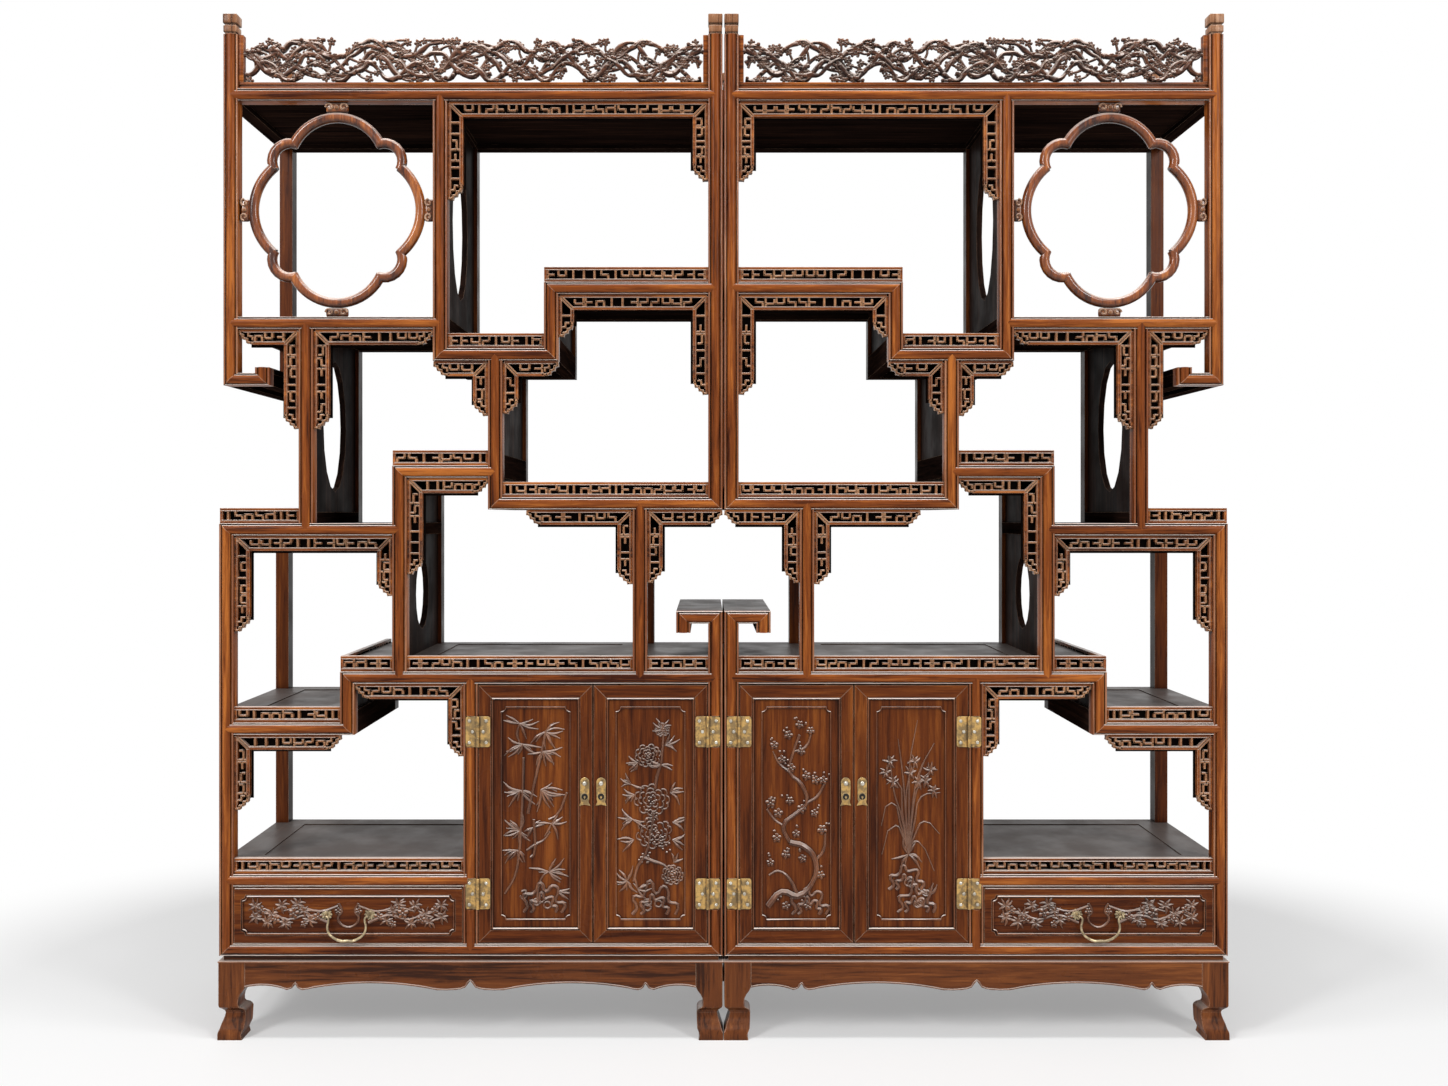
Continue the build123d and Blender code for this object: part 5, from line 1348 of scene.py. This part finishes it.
mounts = bmesh.new()
mount_face = FACE + FIELD_SINK
eye_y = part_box("right_bail")[0].y / 2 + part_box("right_bail")[1].y / 2
for low, high in solids("right_pull_mounts"):
    x, z = centre(low, high)
    pour(mounts, drum((x, z), 0.0072, mount_face, mount_face - 0.0026, 16, 0.0012))
    for i in range(10):
        angle = math.tau * i / 10
        petal_x, petal_z = polar(x, z, angle, 0.0084)
        lump(mounts, (petal_x, mount_face - 0.0009, petal_z), (0.0030, 0.0013, 0.0025), angle)
    pour(mounts, drum((x, z), 0.0030, mount_face, eye_y + 0.0030, 10))
    eye = bmesh.new()
    side_on = Matrix.Translation((x, eye_y, z)) @ Matrix.Rotation(math.pi / 2, 4, "Y")
    ring_spot = side_on @ Matrix.Translation((0.0040, 0, 0)) @ Matrix.Rotation(math.pi / 2, 4, "X")
    bmesh.ops.create_circle(eye, cap_ends=True, segments=8, radius=0.00095, matrix=ring_spot)
    bmesh.ops.spin(
        eye, geom=eye.faces[:], cent=(x, eye_y, z), axis=(1, 0, 0), angle=math.tau, steps=16,
        use_merge=True,
    )
    bmesh.ops.delete(eye, geom=[f for f in eye.faces if len(f.verts) > 4], context="FACES_ONLY")
    pour(mounts, eye)
both("pull_rosettes", mounts, [pull_metal], "drawer", ["pull_mounts"], sharp=50)

low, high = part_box("right_bail")
middle, pivot_z, drop = (low.x + high.x) / 2, high.z - 0.0023, high.z - low.z - 0.0050
span = (high.x - low.x) / 2
right = [
    (span - 0.0008, 0.0, 0.0017), (span - 0.0050, 0.0002, 0.0019), (span - 0.0090, -0.0030, 0.0020),
    (span - 0.0095, -0.0095, 0.0021), (span - 0.0075, -0.0200, 0.0022), (span - 0.0110, -0.0330, 0.0024),
    (span - 0.0220, drop * -0.90, 0.0026), (0.0105, -drop, 0.0030),
]
rod = [(middle + x, eye_y, pivot_z + z, r) for x, z, r in right] + [(middle, eye_y, pivot_z - drop, 0.0032)]
rod += [(middle - x, eye_y, pivot_z + z, r) for x, z, r in right[::-1]]
handle = strands([rod], 2, 5)
for x in (-0.0052, 0.0, 0.0052):
    size = 0.0042 if x == 0 else 0.0036
    lump(handle, (middle + x, eye_y, pivot_z - drop), (0.0022, size * 0.8, size * 0.8))
both("bail_rod", handle, [pull_metal], "bail", ["bail"], sharp=60)

# ---------------------------------------------------------------- stand
# A leg from the floor up, in millimetres: height, then how far its outer and its inner sides lie
# in from the corner
LEG_STATIONS = (
    (0, -1.4, 46.7), (9.7, -1.4, 44.8), (15, -0.8, 46.5), (21.4, 2, 49.4), (30, 4.5, 50), (37, 7.2, 50.3),
    (44, 9.5, 50.6), (50, 10.5, 50.7), (54.5, 9, 49.2), (58.4, 5.5, 46.3), (62.7, 1.2, 40.5),
    (66.5, 0, 38.6), (67.2, 0, 38.5), (74, 0, 38.2), (81, 0, 39.5), (87.6, 0, 42.5), (94, 0, 47.5),
    (99, 0, 50.5), (104, 0, 52), (153, 0, 52),
)


def cabriole_leg():
    """A square leg: plain above, drawn in at the ankle, then flared to a block foot."""
    shape, rings = bmesh.new(), []
    for station in LEG_STATIONS:
        height, out, inside = (size / 1000 for size in station)
        corners = ((out, out), (inside, out), (inside, inside), (out, inside))
        rings.append([shape.verts.new((x, y, height)) for x, y in corners])
    for below, above in zip(rings, rings[1:]):
        for i in range(4):
            shape.faces.new((below[i - 1], below[i], above[i], above[i - 1]))
    shape.faces.new(rings[0])
    shape.faces.new(rings[-1])
    bmesh.ops.recalc_face_normals(shape, faces=shape.faces)
    upright = [e for e in shape.edges if abs(e.verts[0].co.z - e.verts[1].co.z) > 1e-5]
    soften(shape, upright, 0.0016, 2)
    return shape


legs = bmesh.new()
low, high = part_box("right_stand_legs")
for x, sx in ((low.x + 0.0015, 1), (high.x - 0.0015, -1)):
    for y, sy in ((low.y + 0.0015, 1), (high.y - 0.0015, -1)):
        pour(legs, cabriole_leg(), Matrix.Translation((x, y, 0)) @ Matrix.Diagonal((sx, sy, 1, 1)))
both("cabriole_legs", legs, [stand_wood["upright"]], "cabinets", ["stand_legs"], sharp=20)


def lower_edge(name, axis, at):
    """The scalloped lower edge of the aprons on one outer face, from end to end."""
    shape = bmesh.new()
    shape.from_mesh(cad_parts[name].data)
    lowest = {}
    for vertex in shape.verts:
        point = vertex.co
        if abs(point[1 - axis] - at) < 0.0002 and point.z < 0.125:
            key = round(point[axis], 4)
            if key not in lowest or point.z < lowest[key]:
                lowest[key] = point.z
    shape.free()
    return sorted(lowest.items())


beads = bmesh.new()
apron_low, apron_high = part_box("right_stand_aprons")
for axis, at, out in (
    (0, apron_low.y, -1), (1, apron_low.x, -1), (1, apron_high.x, 1), (0, apron_high.y, 1),
):
    knots = []
    for place, z in lower_edge("right_stand_aprons", axis, at):
        spot = [place, place, z + 0.0022]
        spot[1 - axis] = at + out * -0.0002
        knots.append((*spot, 0.0016))
    pour(beads, strands([knots], smooth=2))
# Thin beads along the aprons' top edges take the bead finish: painted highlight lines
corners = [(x, y) for x in (apron_low.x, apron_high.x) for y in (apron_low.y, apron_high.y)]
for start, stop in ((0, 2), (0, 1), (2, 3), (1, 3)):
    line = [(*corners[end], apron_high.z - 0.0014, 0.0014) for end in (start, stop)]
    pour(beads, strands([line], smooth=2), finish=1)
both("apron_beads", beads, [stand_wood["level"], bead_wear_and_highlight["level"]], "cabinets", sharp=60)

# ---------------------------------------------------------------- kept frame nodes
CAD_FINISHES = {
    "back_posts": back_post_wood, "back_rails": shelf_wood["level"], "side_rails": shelf_wood["deep"],
    "walls": inner_wood["upright"], "shelf_boards": shelf_wood["level"], "case_panels": inner_wood["upright"],
    "stand_aprons": stand_wood["level"], "stand_waist": stand_wood["level"],
    "inner_door_panel": door_wood["upright"], "outer_door_panel": door_wood["upright"],
    "drawer_front": door_wood["level"], "drawer_box": inner_wood["deep"],
}
for side in SIDES:
    for name, material in CAD_FINISHES.items():
        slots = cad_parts[f"{side}_{name}"].data.materials
        slots.clear()
        slots.append(material)


# ---------------------------------------------------------------- floor, light and camera
def plain_floor():
    shape = bmesh.new()
    bmesh.ops.create_grid(shape, x_segments=1, y_segments=1, size=14.0)
    mesh = bpy.data.meshes.new("floor")
    shape.to_mesh(mesh)
    shape.free()
    made, tree = blank_material("pale_floor")
    place = node(tree, "ShaderNodeTexCoord").outputs["Object"]
    wires = {"Vector": place, "Location": (0, -0.15, 0), "Scale": (0.62, 1.0, 1.0)}
    spread = node(tree, "ShaderNodeMapping", wires)
    reach = node(tree, "ShaderNodeVectorMath", {0: spread.outputs[0]}, operation="LENGTH").outputs["Value"]
    away = ramp(tree, reach, 0.75, 1.35)
    path = node(tree, "ShaderNodeLightPath").outputs
    seen = math_of(tree, "ADD", path["Is Camera Ray"], path["Is Glossy Ray"], True)
    wires = {"Base Color": (0.93, 0.93, 0.93, 1), "Roughness": 0.9, "Specular IOR Level": 0.1}
    matt = node(tree, "ShaderNodeBsdfPrincipled", wires)
    white = node(tree, "ShaderNodeEmission", {"Color": (1, 1, 1, 1), "Strength": 1.0})
    lifted = math_of(tree, "MULTIPLY", math_of(tree, "MAXIMUM", away, 0.30), seen)
    blend = node(tree, "ShaderNodeMixShader", {0: lifted, 1: matt.outputs[0], 2: white.outputs[0]})
    node(tree, "ShaderNodeOutputMaterial", {"Surface": blend.outputs[0]})
    mesh.materials.append(made)
    floor = bpy.data.objects.new("floor", mesh)
    bpy.context.scene.collection.objects.link(floor)


def white_world(level):
    world = bpy.data.worlds.new("studio")
    bpy.context.scene.world = world
    world.use_nodes = True
    tree = world.node_tree
    tree.nodes.clear()
    path = node(tree, "ShaderNodeLightPath").outputs
    mirrored = math_of(tree, "MAXIMUM", path["Is Glossy Ray"], path["Is Transmission Ray"])
    seen = math_of(tree, "MAXIMUM", path["Is Camera Ray"], mirrored)
    strength = ramp(tree, seen, 0.0, 1.0, level, 1.0)
    light = node(tree, "ShaderNodeBackground", {"Color": (1, 1, 1, 1), "Strength": strength})
    node(tree, "ShaderNodeOutputWorld", {"Surface": light.outputs[0]})


def soft_lamp(name, spot, target, size, power):
    lamp = bpy.data.lights.new(name, "AREA")
    lamp.shape = "RECTANGLE"
    lamp.size, lamp.size_y = size
    lamp.energy = power
    made = bpy.data.objects.new(name, lamp)
    made.location = spot
    made.rotation_euler = (Vector(target) - Vector(spot)).to_track_quat("-Z", "Y").to_euler()
    bpy.context.scene.collection.objects.link(made)


plain_floor()
white_world(0.36)
soft_lamp("key_left", (-2.6, -2.6, 3.2), (0, 0, 1.0), (0.7, 1.6), 74)
soft_lamp("key_right", (2.6, -2.8, 2.9), (0, 0, 1.0), (0.7, 1.6), 58)
soft_lamp("top", (0, -0.6, 4.0), (0, 0, 0.8), (3.0, 0.4), 62)

EYE = Vector((-0.030, -2.49475, 1.0224))
FOCAL_PX, WIDTH_PX, SENSOR_MM = 1196.5, 1448, 36.0
camera = bpy.data.cameras.new("camera")
camera.sensor_width = SENSOR_MM
camera.lens = FOCAL_PX * SENSOR_MM / WIDTH_PX
camera.shift_x, camera.shift_y = 0.0110, -0.0193
viewer = bpy.data.objects.new("camera", camera)
viewer.location = EYE
viewer.rotation_euler = (math.pi / 2, 0, 0)
bpy.context.scene.collection.objects.link(viewer)
bpy.context.scene.camera = viewer
bpy.context.scene.view_settings.view_transform = "Standard"
